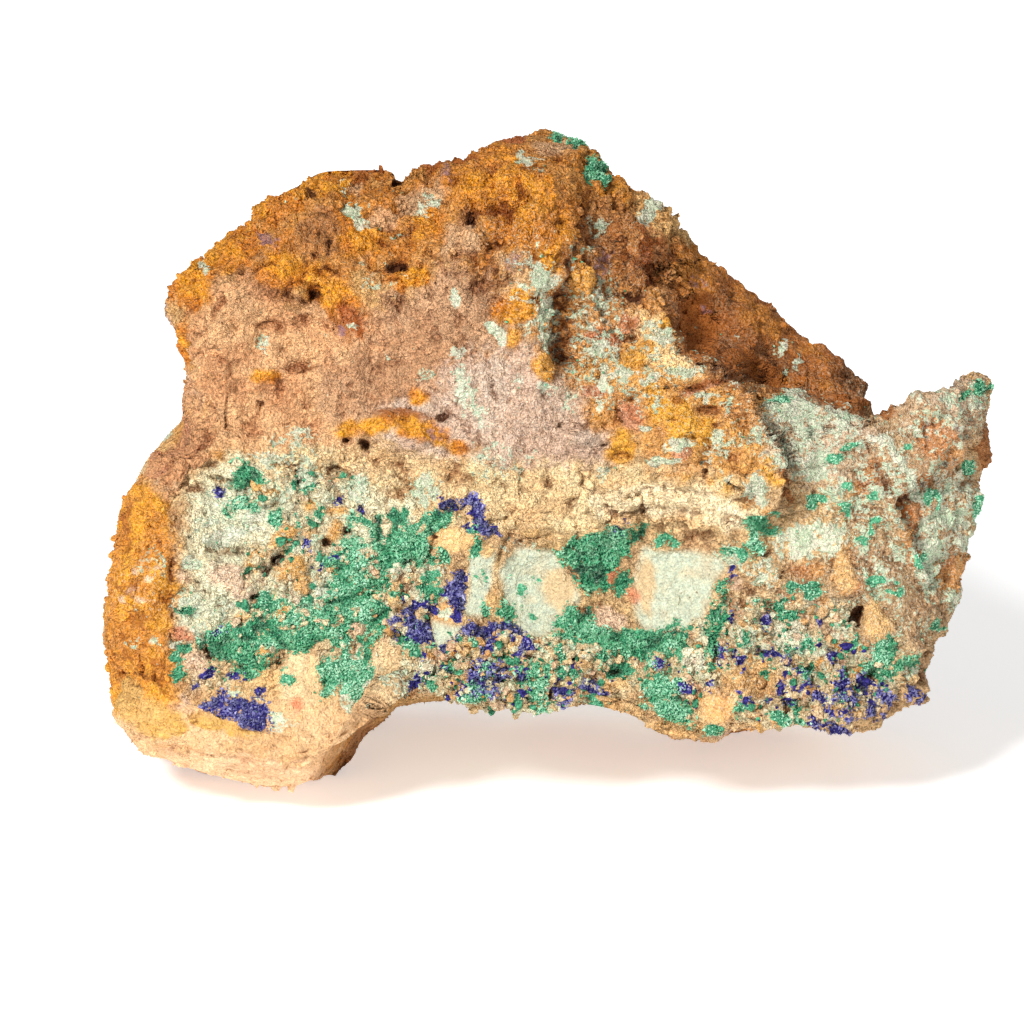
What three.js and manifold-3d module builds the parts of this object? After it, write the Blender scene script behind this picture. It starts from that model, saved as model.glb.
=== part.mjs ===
// A hand-sized stone of ochre-brown gossan with drusy green malachite and dark blue azurite grown on its
// display face. Millimetres, +Z up. The display face looks along -Y and leans back, so that the stone
// rests on a long worn pad under its foot and a small one under its right flank. The origin is on the
// ground, under the middle of the stone's box.
//
// The shape is drawn on the display face. x runs to the right along it, u runs up it, and depth runs into
// the stone. The rim is the closed line that parts the front of the stone from its back. A square grid is
// stretched over the front and another over the back, so the whole stone is one closed skin.
import * as THREE from "three";
import { mergeVertices } from "three/addons/utils/BufferGeometryUtils.js";
import Module from "manifold-3d";

const wasm = await Module();
wasm.setup();

// ---- Driving sizes, in millimetres and degrees ----
const LEAN = 18; // how far the display face leans back from upright
const FRONT_BULGE = 12; // how far the display face stands in front of the rim plane
const BACK_DEPTH = 32; // how deep the broken back face lies behind the rim plane
const CROWN = { from: 58, ease: 75 }; // above this u the face bends back, by (u - from) squared over ease
const GRID_CELLS = 40; // cells along each side of the square grid, front and back
const RING_CENTRE = [1, 40]; // x and u where the grid's rings close up
const DEPTH_SHARE = 0.5; // depth against half width, used to space the rings evenly over the rounding
const SEAT_GAP = 0.35; // between a crust and the stone under it
const CRUST_DEPTH = 1.0; // how far a crust stands out of the stone

// The rim, in four sides that follow each other anticlockwise: [x, u, depth] at each turn of the line.
const RIM = {
  bottom: [
    [-46.5, 4.3, 2], [-44, 3.9, 1], [-41.8, 3, 0], [-39.5, 1.9, 0], [-35.5, 1.2, 0], [-33, 0.5, 0],
    [-30, 0, 0], [-27, 0.3, 0], [-24.5, 1, 0], [-22.5, 2.8, 0], [-21, 5.5, 0], [-19.5, 8.5, 0],
    [-17.5, 10.3, 0], [-16, 11.8, 0], [-13, 10.8, 0], [-10, 11.4, 0], [-6, 11.5, 0], [-2, 11.2, 0],
    [1.5, 10.8, 0], [6, 11.1, 0], [12, 11, 0], [14.5, 10.2, 0], [16.5, 9.5, 0], [18, 8, 0],
    [19.8, 6.9, 0], [22, 6.9, 0], [25, 6.4, 0], [29, 7.4, 0], [33, 8, 0], [37, 8.8, 0], [41, 8.5, 0],
    [44, 9, 1], [46.5, 10.3, 1], [48.5, 11, 2], [50, 12.1, 3],
  ],
  right: [
    [52.3, 12.2, 4], [52.6, 14, 4], [52.4, 16.5, 4], [52.8, 19, 4], [53.6, 21, 5], [55.2, 22.5, 5],
    [56.2, 24.5, 5], [56.8, 26.5, 5], [56.4, 28, 5], [57.2, 30, 5], [57, 33, 5], [57.9, 34, 5],
    [57.8, 36.3, 6], [58.9, 38, 6], [58.3, 40, 7], [59.9, 43, 8], [59.9, 45, 7], [59.3, 47.5, 6],
    [59.7, 50, 6], [60.1, 52.5, 6], [59.8, 53.7, 6], [58.5, 54, 6], [56.5, 53.3, 6], [55, 52, 7],
    [53, 50.6, 7], [50.5, 49.5, 8], [48, 48.5, 10], [46.2, 48.8, 12], [44.8, 50.2, 14], [44.5, 51.4, 15],
    [42.3, 54.2, 16], [40.7, 55.6, 17], [39, 56.8, 17], [37.8, 56.9, 17], [36.5, 58.2, 17], [34, 60.2, 17],
    [32.5, 62.2, 17], [30, 64.3, 17], [27, 66.5, 16],
  ],
  top: [
    [24.2, 68.6, 15], [23, 70.6, 14], [20.5, 73.3, 13], [18, 74.9, 12], [15, 76.3, 11], [13, 78, 11],
    [11.8, 78.6, 11], [11.2, 80.2, 11], [10.3, 81, 11], [8.8, 81.3, 11], [8, 82.8, 11], [6.5, 83.5, 11],
    [4.5, 84.3, 10], [3.4, 84.7, 10], [2.5, 83.6, 10], [0.5, 83, 9], [-1.6, 82.7, 9], [-3.5, 81, 9],
    [-6, 80.3, 9], [-10, 80.1, 9], [-13, 79.6, 9], [-13.9, 78.9, 9], [-14.8, 79.8, 9], [-17, 80.1, 9],
    [-21, 80.1, 9], [-24, 79.8, 9], [-27, 78.3, 9], [-30, 76.2, 9], [-32.3, 74.7, 9], [-32.6, 73.2, 9],
    [-34, 72, 9], [-36, 71.2, 9],
  ],
  left: [
    [-37, 70, 9], [-38.8, 68.1, 8], [-40.2, 67.8, 8], [-41.3, 66, 8], [-42.4, 64, 8], [-42.8, 62.3, 8],
    [-41.5, 59.5, 8], [-40.8, 56, 8], [-40.7, 53, 8], [-41.5, 50, 8], [-41.9, 47.5, 8], [-43.3, 45, 7],
    [-44.7, 45.1, 7], [-45.8, 44.5, 7], [-46.2, 42, 7], [-47.5, 39.8, 7], [-49, 37, 7], [-49.7, 33, 7],
    [-50.3, 29, 7], [-51.4, 24, 7], [-51, 19, 6], [-50.5, 14.5, 5], [-50.2, 10.5, 4], [-48.5, 7, 3],
  ],
};

// Swellings and hollows of the display face: {x, u} centre, {rx, ru} half widths, turn in degrees, rise
// towards the viewer.
const SWELLINGS = {
  tanHollow: { x: -27, u: 54, rx: 13, ru: 9, turn: 0, rise: -2.2 },
  pinkHump: { x: -6, u: 66, rx: 5, ru: 8, turn: 8, rise: 2.2 },
  centreRib: { x: 3.5, u: 68, rx: 4, ru: 12, turn: 0, rise: 3 },
  upperGully: { x: 11, u: 71, rx: 2.4, ru: 9, turn: 14, rise: -4 },
  lowerGully: { x: 7, u: 58, rx: 2, ru: 9, turn: -2, rise: -3 },
  shelfHollow: { x: 15.5, u: 65, rx: 4, ru: 2.6, turn: -12, rise: -3.5 },
  eastRib: { x: 15.5, u: 71, rx: 2.2, ru: 6, turn: 0, rise: 1.5 },
  orangeKnob: { x: 24, u: 46, rx: 12, ru: 10, turn: -20, rise: 4 },
  foot: { x: -33, u: 6, rx: 17, ru: 9, turn: -6, rise: 2.5 },
  leftDruseHollow: { x: -30, u: 28, rx: 12, ru: 13, turn: 0, rise: -1.8 },
  westPocket: { x: 3, u: 27, rx: 5, ru: 5.5, turn: 0, rise: -1.6 },
  eastPocket: { x: 18.5, u: 28, rx: 8, ru: 5.5, turn: 0, rise: -2 },
  greenBand: { x: 17, u: 21, rx: 11, ru: 3, turn: 0, rise: 0.8 },
  lowerBulge: { x: 0, u: 16, rx: 12, ru: 5, turn: 0, rise: 1 },
  cornerBulge: { x: 33, u: 13, rx: 12, ru: 5, turn: 0, rise: 1.5 },
  vug: { x: 35, u: 22, rx: 3, ru: 2.6, turn: 0, rise: -1.6 },
  thumbHollow: { x: 43, u: 23.5, rx: 2, ru: 2, turn: 0, rise: -1.6 },
  wingRidge: { x: 48, u: 38, rx: 1.8, ru: 10, turn: 26, rise: 1.2 },
  wingFall: { x: 56, u: 26, rx: 10, ru: 16, turn: 0, rise: -3 },
};

// Steps where the face breaks down to a lower level: the width of the slope between the two levels, and a
// line of [x, u, drop]. The drop is on the right hand of someone walking the line, and below 0 it is a rise.
const STEPS = {
  recess: {
    width: 4.5,
    line: [
      [45.5, 47, 1.5], [44, 48.2, 4], [40, 49.8, 7], [35, 51, 9], [32, 52, 10], [29.8, 53, 11],
      [28.2, 55.3, 12], [26, 57.4, 12], [23.2, 57.4, 12.5], [22, 60, 11.5], [20, 63, 9], [17.4, 66, 6],
      [17.1, 70, 3], [16.6, 77, 0.5],
    ],
  },
  knobEdge: {
    width: 3,
    line: [
      [-3, 36, 0], [5, 33.6, 0.8], [14, 33.2, 1.3], [25, 33.4, 1.6], [30, 34.4, 2], [33, 36, 3.2],
      [34.9, 39, 4.5], [35, 43, 5], [33.6, 46, 5], [31.6, 49, 4.5], [30.2, 52.4, 3.5], [28, 54, 0],
    ],
  },
  hornFoot: {
    width: 2.5,
    line: [
      [54.5, 25.5, 0], [53.8, 28, 1.4], [52, 31, 2.2], [50, 34.6, 2.6], [48.9, 37.3, 2.6],
      [50.3, 39.8, 2.8], [53.5, 43.3, 2.8], [57, 45.3, 2.8], [60.5, 46.6, 2.8],
    ],
  },
  footTop: {
    width: 2.5,
    line: [
      [-51, 17, -0.6], [-44, 16.6, -1.2], [-40, 14.6, -1.6], [-33, 11.6, -1.6], [-28, 10.6, -1.6],
      [-23, 9.6, -1.2], [-17, 11.6, -0.4],
    ],
  },
  flankEdge: {
    width: 2.5,
    line: [
      [-41, 43, 0], [-42.3, 36, -1.2], [-41.9, 30, -1.5], [-42, 24, -1.5], [-43, 19, -1], [-44, 16, 0],
    ],
  },
};

// The planes that the back is broken along: depth = reach + byX * x + byU * (u - BACK_MIDDLE).
const BACK_MIDDLE = 40;
const BACK_PLANES = [
  { reach: BACK_DEPTH, byX: -0.06, byU: -0.05 },
  { reach: BACK_DEPTH + 2, byX: 0.22, byU: -0.16 },
  { reach: BACK_DEPTH + 34, byX: 0.85, byU: 0.05 },
  { reach: BACK_DEPTH + 22, byX: -0.62, byU: -0.1 },
  { reach: BACK_DEPTH + 12, byX: 0.1, byU: -0.75 },
  { reach: BACK_DEPTH + 8, byX: -0.5, byU: -0.45 },
];
const PLANE_BLEND = 1.5; // how rounded the edges between those planes are

// Swellings and hollows of the back, with the rise away from the viewer.
const BACK_SWELLINGS = {
  shellHollow: { x: -20, u: 52, rx: 14, ru: 10, turn: 30, rise: -3.5 },
  lowHollow: { x: 18, u: 30, rx: 10, ru: 8, turn: -20, rise: -3 },
  spur: { x: 2, u: 44, rx: 6, ru: 16, turn: -25, rise: 2.5 },
  heelRise: { x: -28, u: 22, rx: 12, ru: 9, turn: 0, rise: 2 },
};

// How the skin turns from the face into the rim, as shares of the half width and of the depth: the front is
// rounded all the way, the back is boxier, and the underside runs straight back before it turns.
const ROUNDING = {
  front: { out: 0.3, keep: 0.95 },
  back: { out: 0.26, keep: 0.62 },
  underside: { out: 0.12, keep: 0.2 },
};

// Where the underside comes down to the ground, [x, depth, half width]; elsewhere it stays clear of it.
const PADS = [[-27, 4, 8], [-37, 9, 7], [-33, 26, 9], [26, 22, 7], [38, 27, 8]];
const PAD_REACH = 2.4; // how far a pad stands out of the underside
const UNDERSIDE_LIFT = 1.5; // how far the rest of the underside is off the ground
const UNDERSIDE_WAVE = { wave: 6, height: 0.8 }; // how the underside rolls
const UNDERSIDE_SHARE = 0.2; // of the depth, over which the underside comes off the ground behind the rim

// Lumps that cover the whole stone: wavelength and height, from the coarsest.
const LUMPS = [
  { wave: 15, height: 1.5 },
  { wave: 7, height: 0.8 },
];
const LUMP_FREE_SHARE = 0.6; // of the depth, over which the lumps grow from nothing at the rim

// Footprints of the crusts on the display face: closed lines of [x, u].
const MALACHITE = {
  malachite_druse_left: [
    [-38.6, 20], [-37.5, 17], [-32, 16], [-30.6, 19], [-25, 19.6], [-17.5, 19.8], [-15.7, 22.5],
    [-15.6, 29.5], [-11, 29.8], [-7.4, 31], [-7.6, 36.4], [-12, 37], [-18, 37], [-20.4, 36.6], [-20, 33.5],
    [-23, 31.6], [-23.4, 26], [-27, 25.4], [-31.5, 26], [-32.4, 23.4], [-36.6, 22.8],
  ],
  malachite_druse_lower_left: [[-23.6, 14.4], [-18, 14.6], [-17.6, 18.6], [-20, 19], [-23.6, 18.6]],
  malachite_druse_upper_left: [[-34.4, 40.2], [-31.2, 40.3], [-31, 42], [-33.6, 42.4]],
  malachite_druse_west: [[-35.2, 36.4], [-32.4, 36.6], [-32.3, 38.4], [-34.6, 38.8]],
  malachite_druse_pocket_wall: [
    [5, 31.4], [7.6, 28.4], [9.4, 26.2], [11.6, 26.4], [13.4, 28.6], [14.6, 32.6], [14.2, 33.4], [9.6, 33],
  ],
  malachite_druse_middle: [[-2.9, 23.6], [-1.6, 23.9], [0.8, 24.3], [1.2, 25.2], [-0.4, 25.6], [-2.4, 25.2]],
  malachite_druse_centre: [
    [5.8, 21.8], [8.6, 21.4], [11, 20.4], [12.6, 18.2], [16.4, 18.4], [21.6, 17.9], [22, 20.4],
    [20.6, 23.2], [15.8, 23.6], [11.4, 23.2], [9.4, 25.4], [6.2, 25],
  ],
  malachite_ridge: [[24.2, 18.2], [25.6, 18.2], [26.6, 22], [26.9, 26.2], [25.9, 27], [24.8, 25], [24.3, 22]],
  malachite_druse_lower_middle: [
    [1.3, 15.6], [3, 12.6], [4, 12.6], [4.3, 15.4], [5.2, 17.6], [3.4, 18.4], [1.4, 18],
  ],
  malachite_druse_lower_right: [
    [15.4, 15.4], [17, 12.6], [19.6, 10.2], [22.2, 10], [21.8, 12.8], [19.8, 16.2], [17.6, 17.2], [16, 16.8],
  ],
  malachite_druse_under_knob: [[28.4, 33], [30, 31.4], [33, 33.2], [33.2, 35.6], [30.6, 35.6]],
  malachite_druse_right_corner: [
    [44, 17], [45.6, 15.8], [48, 17], [50.2, 16.8], [50.4, 18], [48.6, 18.6], [48, 20], [46, 19.8],
  ],
};
const AZURITE = {
  azurite_crust_lower_left: [
    [-38.9, 13.9], [-37, 13], [-34.4, 12.4], [-31.6, 10.8], [-29.6, 11.2], [-30.4, 12.8], [-33.4, 14.6],
    [-36.6, 15.4],
  ],
  azurite_nodule_cluster: [
    [-15.2, 22.4], [-14.4, 20.4], [-12.4, 19.9], [-10.2, 20.8], [-10, 22.4], [-12, 23.6], [-12.6, 25.4],
    [-13.8, 25.2], [-14, 23.6],
  ],
  azurite_arm: [[-7.6, 26.2], [-6.2, 24.4], [-5.6, 25.6], [-5.4, 28.6], [-6.6, 29.4], [-7.4, 28.2]],
  azurite_arc_middle: [
    [-9.2, 20.2], [-8.8, 19.6], [-6.2, 20.8], [-4.6, 22], [-2.8, 20.9], [-1.4, 21.6], [0.4, 22],
    [0.8, 19.6], [1.8, 19.6], [1.6, 23], [0.6, 23.8], [-1.6, 23.3], [-3.2, 22.8], [-4.8, 23.9], [-6.6, 22.4],
  ],
  azurite_bar_upper: [
    [-9.2, 37.4], [-5.6, 37.2], [-4.4, 34.8], [-2, 32.8], [-1.4, 34], [-3.4, 36.6], [-4.8, 38.5],
    [-9.2, 38.6],
  ],
  azurite_cluster_lower_middle: [
    [-5.4, 13.8], [-2.4, 13.2], [-0.4, 14.6], [0.6, 17.6], [-1.2, 19.2], [-4.8, 19.2], [-5.6, 16.6],
  ],
  azurite_cluster_lower_right: [[4.8, 12.8], [7, 12.7], [7.5, 14], [6, 15], [4.9, 14.9]],
  azurite_cluster_lower_east: [
    [8.8, 14.4], [10.4, 13.2], [12.6, 14.2], [12.4, 15.8], [10.4, 16.2], [9, 15.6],
  ],
  azurite_field_right: [
    [38, 11.4], [41, 9.8], [44.6, 10.6], [47.2, 11.8], [47.4, 14], [45, 15], [41, 15.4], [38.6, 14.4],
  ],
  azurite_corner: [[49, 12.9], [50.6, 12.8], [51, 14], [50.2, 14.8], [49.2, 14.2]],
};

// ---- Small maths ----
const clamp = (v, low, high) => Math.min(high, Math.max(low, v));
const mix = (a, b, t) => a + (b - a) * t;
const smooth = (t) => {
  const s = clamp(t, 0, 1);
  return s * s * (3 - 2 * s);
};

/** A number from 0 to 1 that depends only on three whole numbers. */
function lattice(i, j, k) {
  let h = Math.imul(i, 0x9e3779b1) ^ Math.imul(j, 0x85ebca77) ^ Math.imul(k, 0xc2b2ae3d);
  h = Math.imul(h ^ (h >>> 15), 0x2c1b3c6d);
  h = Math.imul(h ^ (h >>> 12), 0x297a2d39);
  return ((h ^ (h >>> 15)) >>> 0) / 4294967296;
}

/** Smooth noise from -1 to 1 at a point, with features about one unit across. */
function noise(x, y, z) {
  const [i, j, k] = [Math.floor(x), Math.floor(y), Math.floor(z)];
  const [fx, fy, fz] = [smooth(x - i), smooth(y - j), smooth(z - k)];
  const row = (dj, dk) => mix(lattice(i, j + dj, k + dk), lattice(i + 1, j + dj, k + dk), fx);
  const value = mix(mix(row(0, 0), row(1, 0), fy), mix(row(0, 1), row(1, 1), fy), fz);
  return 2 * value - 1;
}

/** The height of a swelling at a point of the face: rise * exp(-distance squared), in half widths. */
function swelling({ x: x0, u: u0, rx, ru, turn, rise }, x, u) {
  const angle = THREE.MathUtils.degToRad(turn);
  const [dx, du] = [x - x0, u - u0];
  const along = (dx * Math.cos(angle) + du * Math.sin(angle)) / rx;
  const across = (du * Math.cos(angle) - dx * Math.sin(angle)) / ru;
  return rise * Math.exp(-along * along - across * across);
}

/** The drop of a step at a point: nothing on its left hand, the line's own amount on its right hand. */
function step({ width, line }, x, u) {
  let best = { distance: Infinity, side: 0, drop: 0 };
  for (let n = 0; n + 1 < line.length; n++) {
    const [[x0, u0, drop0], [x1, u1, drop1]] = [line[n], line[n + 1]];
    const [ex, eu] = [x1 - x0, u1 - u0];
    const t = clamp(((x - x0) * ex + (u - u0) * eu) / (ex * ex + eu * eu), 0, 1);
    const [dx, du] = [x - x0 - t * ex, u - u0 - t * eu];
    const distance = Math.hypot(dx, du);
    if (distance < best.distance)
      best = { distance, side: Math.sign(dx * eu - du * ex), drop: mix(drop0, drop1, t) };
  }
  return best.drop * smooth(0.5 + (best.side * best.distance) / width);
}

/** Depth of the display face at x, u. */
function frontDepth(x, u) {
  let rise = FRONT_BULGE - Math.max(0, u - CROWN.from) ** 2 / CROWN.ease;
  for (const one of Object.values(SWELLINGS)) rise += swelling(one, x, u);
  for (const one of Object.values(STEPS)) rise -= step(one, x, u);
  return -rise;
}

/** Depth of the back at x, u: the nearest of the back planes, with rounded edges, and the swellings. */
function backDepth(x, u) {
  let sum = 0;
  for (const { reach, byX, byU } of BACK_PLANES)
    sum += Math.exp(-(reach + byX * x + byU * (u - BACK_MIDDLE)) / PLANE_BLEND);
  let depth = -PLANE_BLEND * Math.log(sum);
  for (const one of Object.values(BACK_SWELLINGS)) depth += swelling(one, x, u);
  return depth;
}

// ---- The stone's skin ----
const sides = Object.values(RIM);
const rimCurve = new THREE.CatmullRomCurve3(
  sides.flat().map(([x, u, depth]) => new THREE.Vector3(x, u, depth)),
  true,
  "centripetal",
);
const SIDE_STEPS = 400; // samples along the rim for each side of the grid
const WORN_REACH = 20; // samples to each side that wear away the rim's small turns, behind the rim
const INNER_REACH = 114; // samples to each side that wear away the horn and the arch, for the inner rings
const INNER_SHARE = 0.55; // how far out the inner rings reach before they begin to follow the rim
const WORN_SHARE = 0.3; // of the depth, over which the back goes from the rim to the worn rim
const rimSamples = rimSidePoints();
const wornRim = rimSamples.map((_, n) => averagedRim(n, WORN_REACH));
const innerRim = rimSamples.map((_, n) => averagedRim(n, INNER_REACH));

/** Evenly spaced points along each of the rim's four sides, one side after the other. */
function rimSidePoints() {
  const total = sides.flat().length;
  let first = 0;
  const points = [];
  for (const side of sides) {
    const fine = [];
    for (let n = 0; n <= SIDE_STEPS; n++)
      fine.push(rimCurve.getPoint(((first + (side.length * n) / SIDE_STEPS) / total) % 1));
    const run = [0];
    for (let n = 1; n < fine.length; n++) run.push(run[n - 1] + fine[n].distanceTo(fine[n - 1]));
    for (let n = 0, at = 0; n < SIDE_STEPS; n++) {
      const target = (run[SIDE_STEPS] * n) / SIDE_STEPS;
      while (run[at + 1] < target) at++;
      points.push(fine[at].clone().lerp(fine[at + 1], (target - run[at]) / (run[at + 1] - run[at])));
    }
    first += side.length;
  }
  return points;
}

/** The rim around sample n averaged over some samples to each side, which wears its turns away. */
function averagedRim(n, reach) {
  const count = rimSamples.length;
  const sum = new THREE.Vector3();
  for (let k = -reach; k <= reach; k++) sum.add(rimSamples[(n + k + count) % count]);
  return sum.divideScalar(2 * reach + 1);
}

/**
 * The cross-section from the middle of the face, t = 0, to the rim, t = 1: flat, then a quarter ellipse, then
 * straight to the rim. It gives how far out a ring lies and how much of the face's own depth it keeps.
 */
function profileAt(t, rounding) {
  const flat = 1 - rounding.out;
  const arc = (Math.PI / 2) * Math.hypot(rounding.out, DEPTH_SHARE * rounding.keep) * Math.SQRT1_2;
  const straight = DEPTH_SHARE * (1 - rounding.keep);
  const run = t * (flat + arc + straight);
  if (run < flat) return [run, 1];
  if (run < flat + arc) {
    const angle = (Math.PI / 2) * ((run - flat) / arc);
    return [flat + rounding.out * Math.sin(angle), 1 - rounding.keep * (1 - Math.cos(angle))];
  }
  return [1, (1 - rounding.keep) * Math.max(0, 1 - (run - flat - arc) / straight)];
}

/** How the back turns into the rim at a place around it. The underside lies around one eighth. */
function backRounding(around) {
  const under = smooth(1.6 * Math.cos(2 * Math.PI * (around - 1 / 8)) - 0.38);
  return {
    out: mix(ROUNDING.back.out, ROUNDING.underside.out, under),
    keep: mix(ROUNDING.back.keep, ROUNDING.underside.keep, under),
  };
}

/** The place around the rim, from 0 to 1, of a point of the square's edge. */
function aroundSquare(a, b) {
  const t = Math.max(Math.abs(a), Math.abs(b)) || 1;
  if (b === -t && a < t) return (a / t + 1) / 8;
  if (a === t && b < t) return 0.25 + (b / t + 1) / 8;
  if (b === t && a > -t) return 0.5 + (1 - a / t) / 8;
  return (0.75 + (1 - b / t) / 8) % 1;
}

const lean = THREE.MathUtils.degToRad(LEAN);
/** From the face's own x, u, depth to upright millimetres. */
const upright = (x, u, depth) =>
  new THREE.Vector3(
    x,
    depth * Math.cos(lean) + u * Math.sin(lean),
    u * Math.cos(lean) - depth * Math.sin(lean),
  );

/** How high the underside is above the ground at x, depth: low at the pads, clear elsewhere. */
function undersideHeight(x, depth) {
  const { wave, height: roll } = UNDERSIDE_WAVE;
  let height = UNDERSIDE_LIFT + roll * noise(x / wave, depth / wave, 0.5);
  for (const [padX, padDepth, halfWidth] of PADS) {
    const away = Math.hypot(x - padX, depth - padDepth) / halfWidth;
    height -= PAD_REACH * Math.exp(-(away ** 4));
  }
  return height;
}

/** A point of the skin before the lumps: the square a, b from -1 to 1, on the front or the back. */
function skinPoint(a, b, front) {
  const around = aroundSquare(a, b);
  const rounding = front ? ROUNDING.front : backRounding(around);
  const [out, keep] = profileAt(Math.max(Math.abs(a), Math.abs(b)), rounding);
  const n = Math.round(around * rimSamples.length) % rimSamples.length;
  const edge = rimSamples[n].clone().lerp(wornRim[n], front ? 0 : smooth(keep / WORN_SHARE));
  const ring = innerRim[n].clone().lerp(edge, smooth((out - INNER_SHARE) / (1 - INNER_SHARE)));
  const x = mix(RING_CENTRE[0], ring.x, out);
  const u = mix(RING_CENTRE[1], ring.y, out);
  if (front) return { x, u, depth: mix(ring.z, frontDepth(x, u), keep), keep };
  const ground = u / Math.tan(lean);
  const lift = undersideHeight(x, ground) * smooth(keep / UNDERSIDE_SHARE);
  const lowest = Math.max(ring.z, ground - lift / Math.sin(lean));
  return { x, u, depth: Math.min(lowest, mix(ring.z, backDepth(x, u), keep)), keep };
}

/** The stone as an indexed geometry: the front grid, the back grid and the lumps. */
function stoneGeometry() {
  const side = GRID_CELLS + 1;
  const positions = [];
  const keeps = [];
  for (const front of [true, false])
    for (let j = 0; j < side; j++)
      for (let i = 0; i < side; i++) {
        const [a, b] = [(2 * i) / GRID_CELLS - 1, (2 * j) / GRID_CELLS - 1];
        const { x, u, depth, keep } = skinPoint(a, b, front);
        positions.push(...upright(x, u, depth).toArray());
        keeps.push(keep);
      }
  const index = [];
  for (const layer of [0, 1])
    for (let j = 0; j < GRID_CELLS; j++)
      for (let i = 0; i < GRID_CELLS; i++) {
        const p = layer * side * side + j * side + i;
        const quad = [p, p + 1, p + side + 1, p + side];
        if (layer) quad.reverse();
        index.push(quad[0], quad[1], quad[2], quad[0], quad[2], quad[3]);
      }
  const geometry = new THREE.BufferGeometry();
  geometry.setAttribute("position", new THREE.Float32BufferAttribute(positions, 3));
  geometry.setAttribute("keep", new THREE.Float32BufferAttribute(keeps, 1));
  geometry.setIndex(index);
  addLumps(geometry);
  geometry.deleteAttribute("keep");
  geometry.deleteAttribute("normal");
  return mergeVertices(geometry, 1e-3);
}

/** Moves each point of a geometry along its normal by the lumps, which die away at the rim. */
function addLumps(geometry) {
  geometry.computeVertexNormals();
  const { position, normal, keep } = geometry.attributes;
  for (let n = 0; n < position.count; n++) {
    const [x, y, z] = [position.getX(n), position.getY(n), position.getZ(n)];
    let height = 0;
    for (const { wave, height: amount } of LUMPS) height += amount * noise(x / wave, y / wave, z / wave);
    height *= smooth(keep.getX(n) / LUMP_FREE_SHARE);
    position.setXYZ(
      n,
      x + height * normal.getX(n),
      y + height * normal.getY(n),
      z + height * normal.getZ(n),
    );
  }
}

// ---- Solids ----
/** A closed geometry as a solid. */
function solidOf(geometry) {
  const bare = geometry.clone();
  bare.deleteAttribute("normal");
  bare.deleteAttribute("uv");
  const merged = mergeVertices(bare, 1e-4);
  return new wasm.Manifold(
    new wasm.Mesh({
      numProp: 3,
      vertProperties: merged.attributes.position.array,
      triVerts: new Uint32Array(merged.index.array),
    }),
  );
}

/** A solid as a geometry. */
function geometryOf(solid) {
  const mesh = solid.getMesh();
  const geometry = new THREE.BufferGeometry();
  geometry.setAttribute("position", new THREE.BufferAttribute(mesh.vertProperties, 3));
  geometry.setIndex(new THREE.BufferAttribute(mesh.triVerts, 1));
  return geometry;
}

/** The column that a closed line on the face sweeps from well inside the stone to well in front of it. */
function column(line) {
  const outline = new THREE.Shape(line.map(([x, u]) => new THREE.Vector2(x, u)));
  const geometry = new THREE.ExtrudeGeometry(outline, { depth: 5 * FRONT_BULGE, bevelEnabled: false });
  geometry.translate(0, 0, -FRONT_BULGE);
  const { position } = geometry.attributes;
  for (let n = 0; n < position.count; n++)
    position.setXYZ(n, ...upright(position.getX(n), position.getY(n), -position.getZ(n)).toArray());
  return solidOf(geometry);
}

const outOfFace = upright(0, 0, -1);
/** The stone moved out of the face by some millimetres. */
const movedOut = (solid, by) => solid.translate(outOfFace.clone().multiplyScalar(by).toArray());

/** The largest body of a solid once points that nearly touch are merged, without a cut's slivers. */
function largestBody(solid) {
  const bodies = solidOf(geometryOf(solid)).decompose();
  return bodies.sort((p, q) => q.volume() - p.volume())[0];
}

const ground = solidOf(new THREE.BoxGeometry(400, 400, 100).translate(0, 0, -50));
const stone = largestBody(solidOf(stoneGeometry()).subtract(ground));

/** A crust: a sheet that follows the stone inside its footprint, a small gap off it. */
function crustSolid(line) {
  const sheet = movedOut(stone, SEAT_GAP + CRUST_DEPTH).subtract(movedOut(stone, SEAT_GAP));
  return largestBody(sheet.intersect(column(line)));
}

// ---- Materials and the assembly ----
const FINISHES = {
  gossan: new THREE.MeshStandardMaterial({ color: 0xc08a52, roughness: 0.95, metalness: 0 }),
  malachite: new THREE.MeshStandardMaterial({ color: 0x2f8f63, roughness: 0.55, metalness: 0 }),
  azurite: new THREE.MeshStandardMaterial({ color: 0x352f86, roughness: 0.45, metalness: 0 }),
};

const specimen = new THREE.Group();

/** Adds a solid to the specimen as a named piece. */
function addPiece(name, solid, finish) {
  const mesh = new THREE.Mesh(geometryOf(solid), FINISHES[finish]);
  mesh.name = name;
  specimen.add(mesh);
  return mesh;
}

const matrix = addPiece("matrix", stone, "gossan");
for (const [name, line] of Object.entries(MALACHITE)) addPiece(name, crustSolid(line), "malachite");
for (const [name, line] of Object.entries(AZURITE)) addPiece(name, crustSolid(line), "azurite");

matrix.geometry.computeBoundingBox();
const middle = matrix.geometry.boundingBox.getCenter(new THREE.Vector3());
specimen.position.set(-middle.x, -middle.y, 0);

export default specimen;
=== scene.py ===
"""A hand-sized stone of ochre gossan with drusy green malachite and dark blue azurite on its display face.

The stone is drawn on its display face: x runs to the right along it, u runs up it and depth runs into the
stone, all in millimetres. A square grid is stretched over the front and another over the back, so the whole
stone is one closed skin. Sand, crumbs and crystals are seated on that skin.
"""
import logging
from dataclasses import dataclass, field, replace
from enum import Enum

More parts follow.
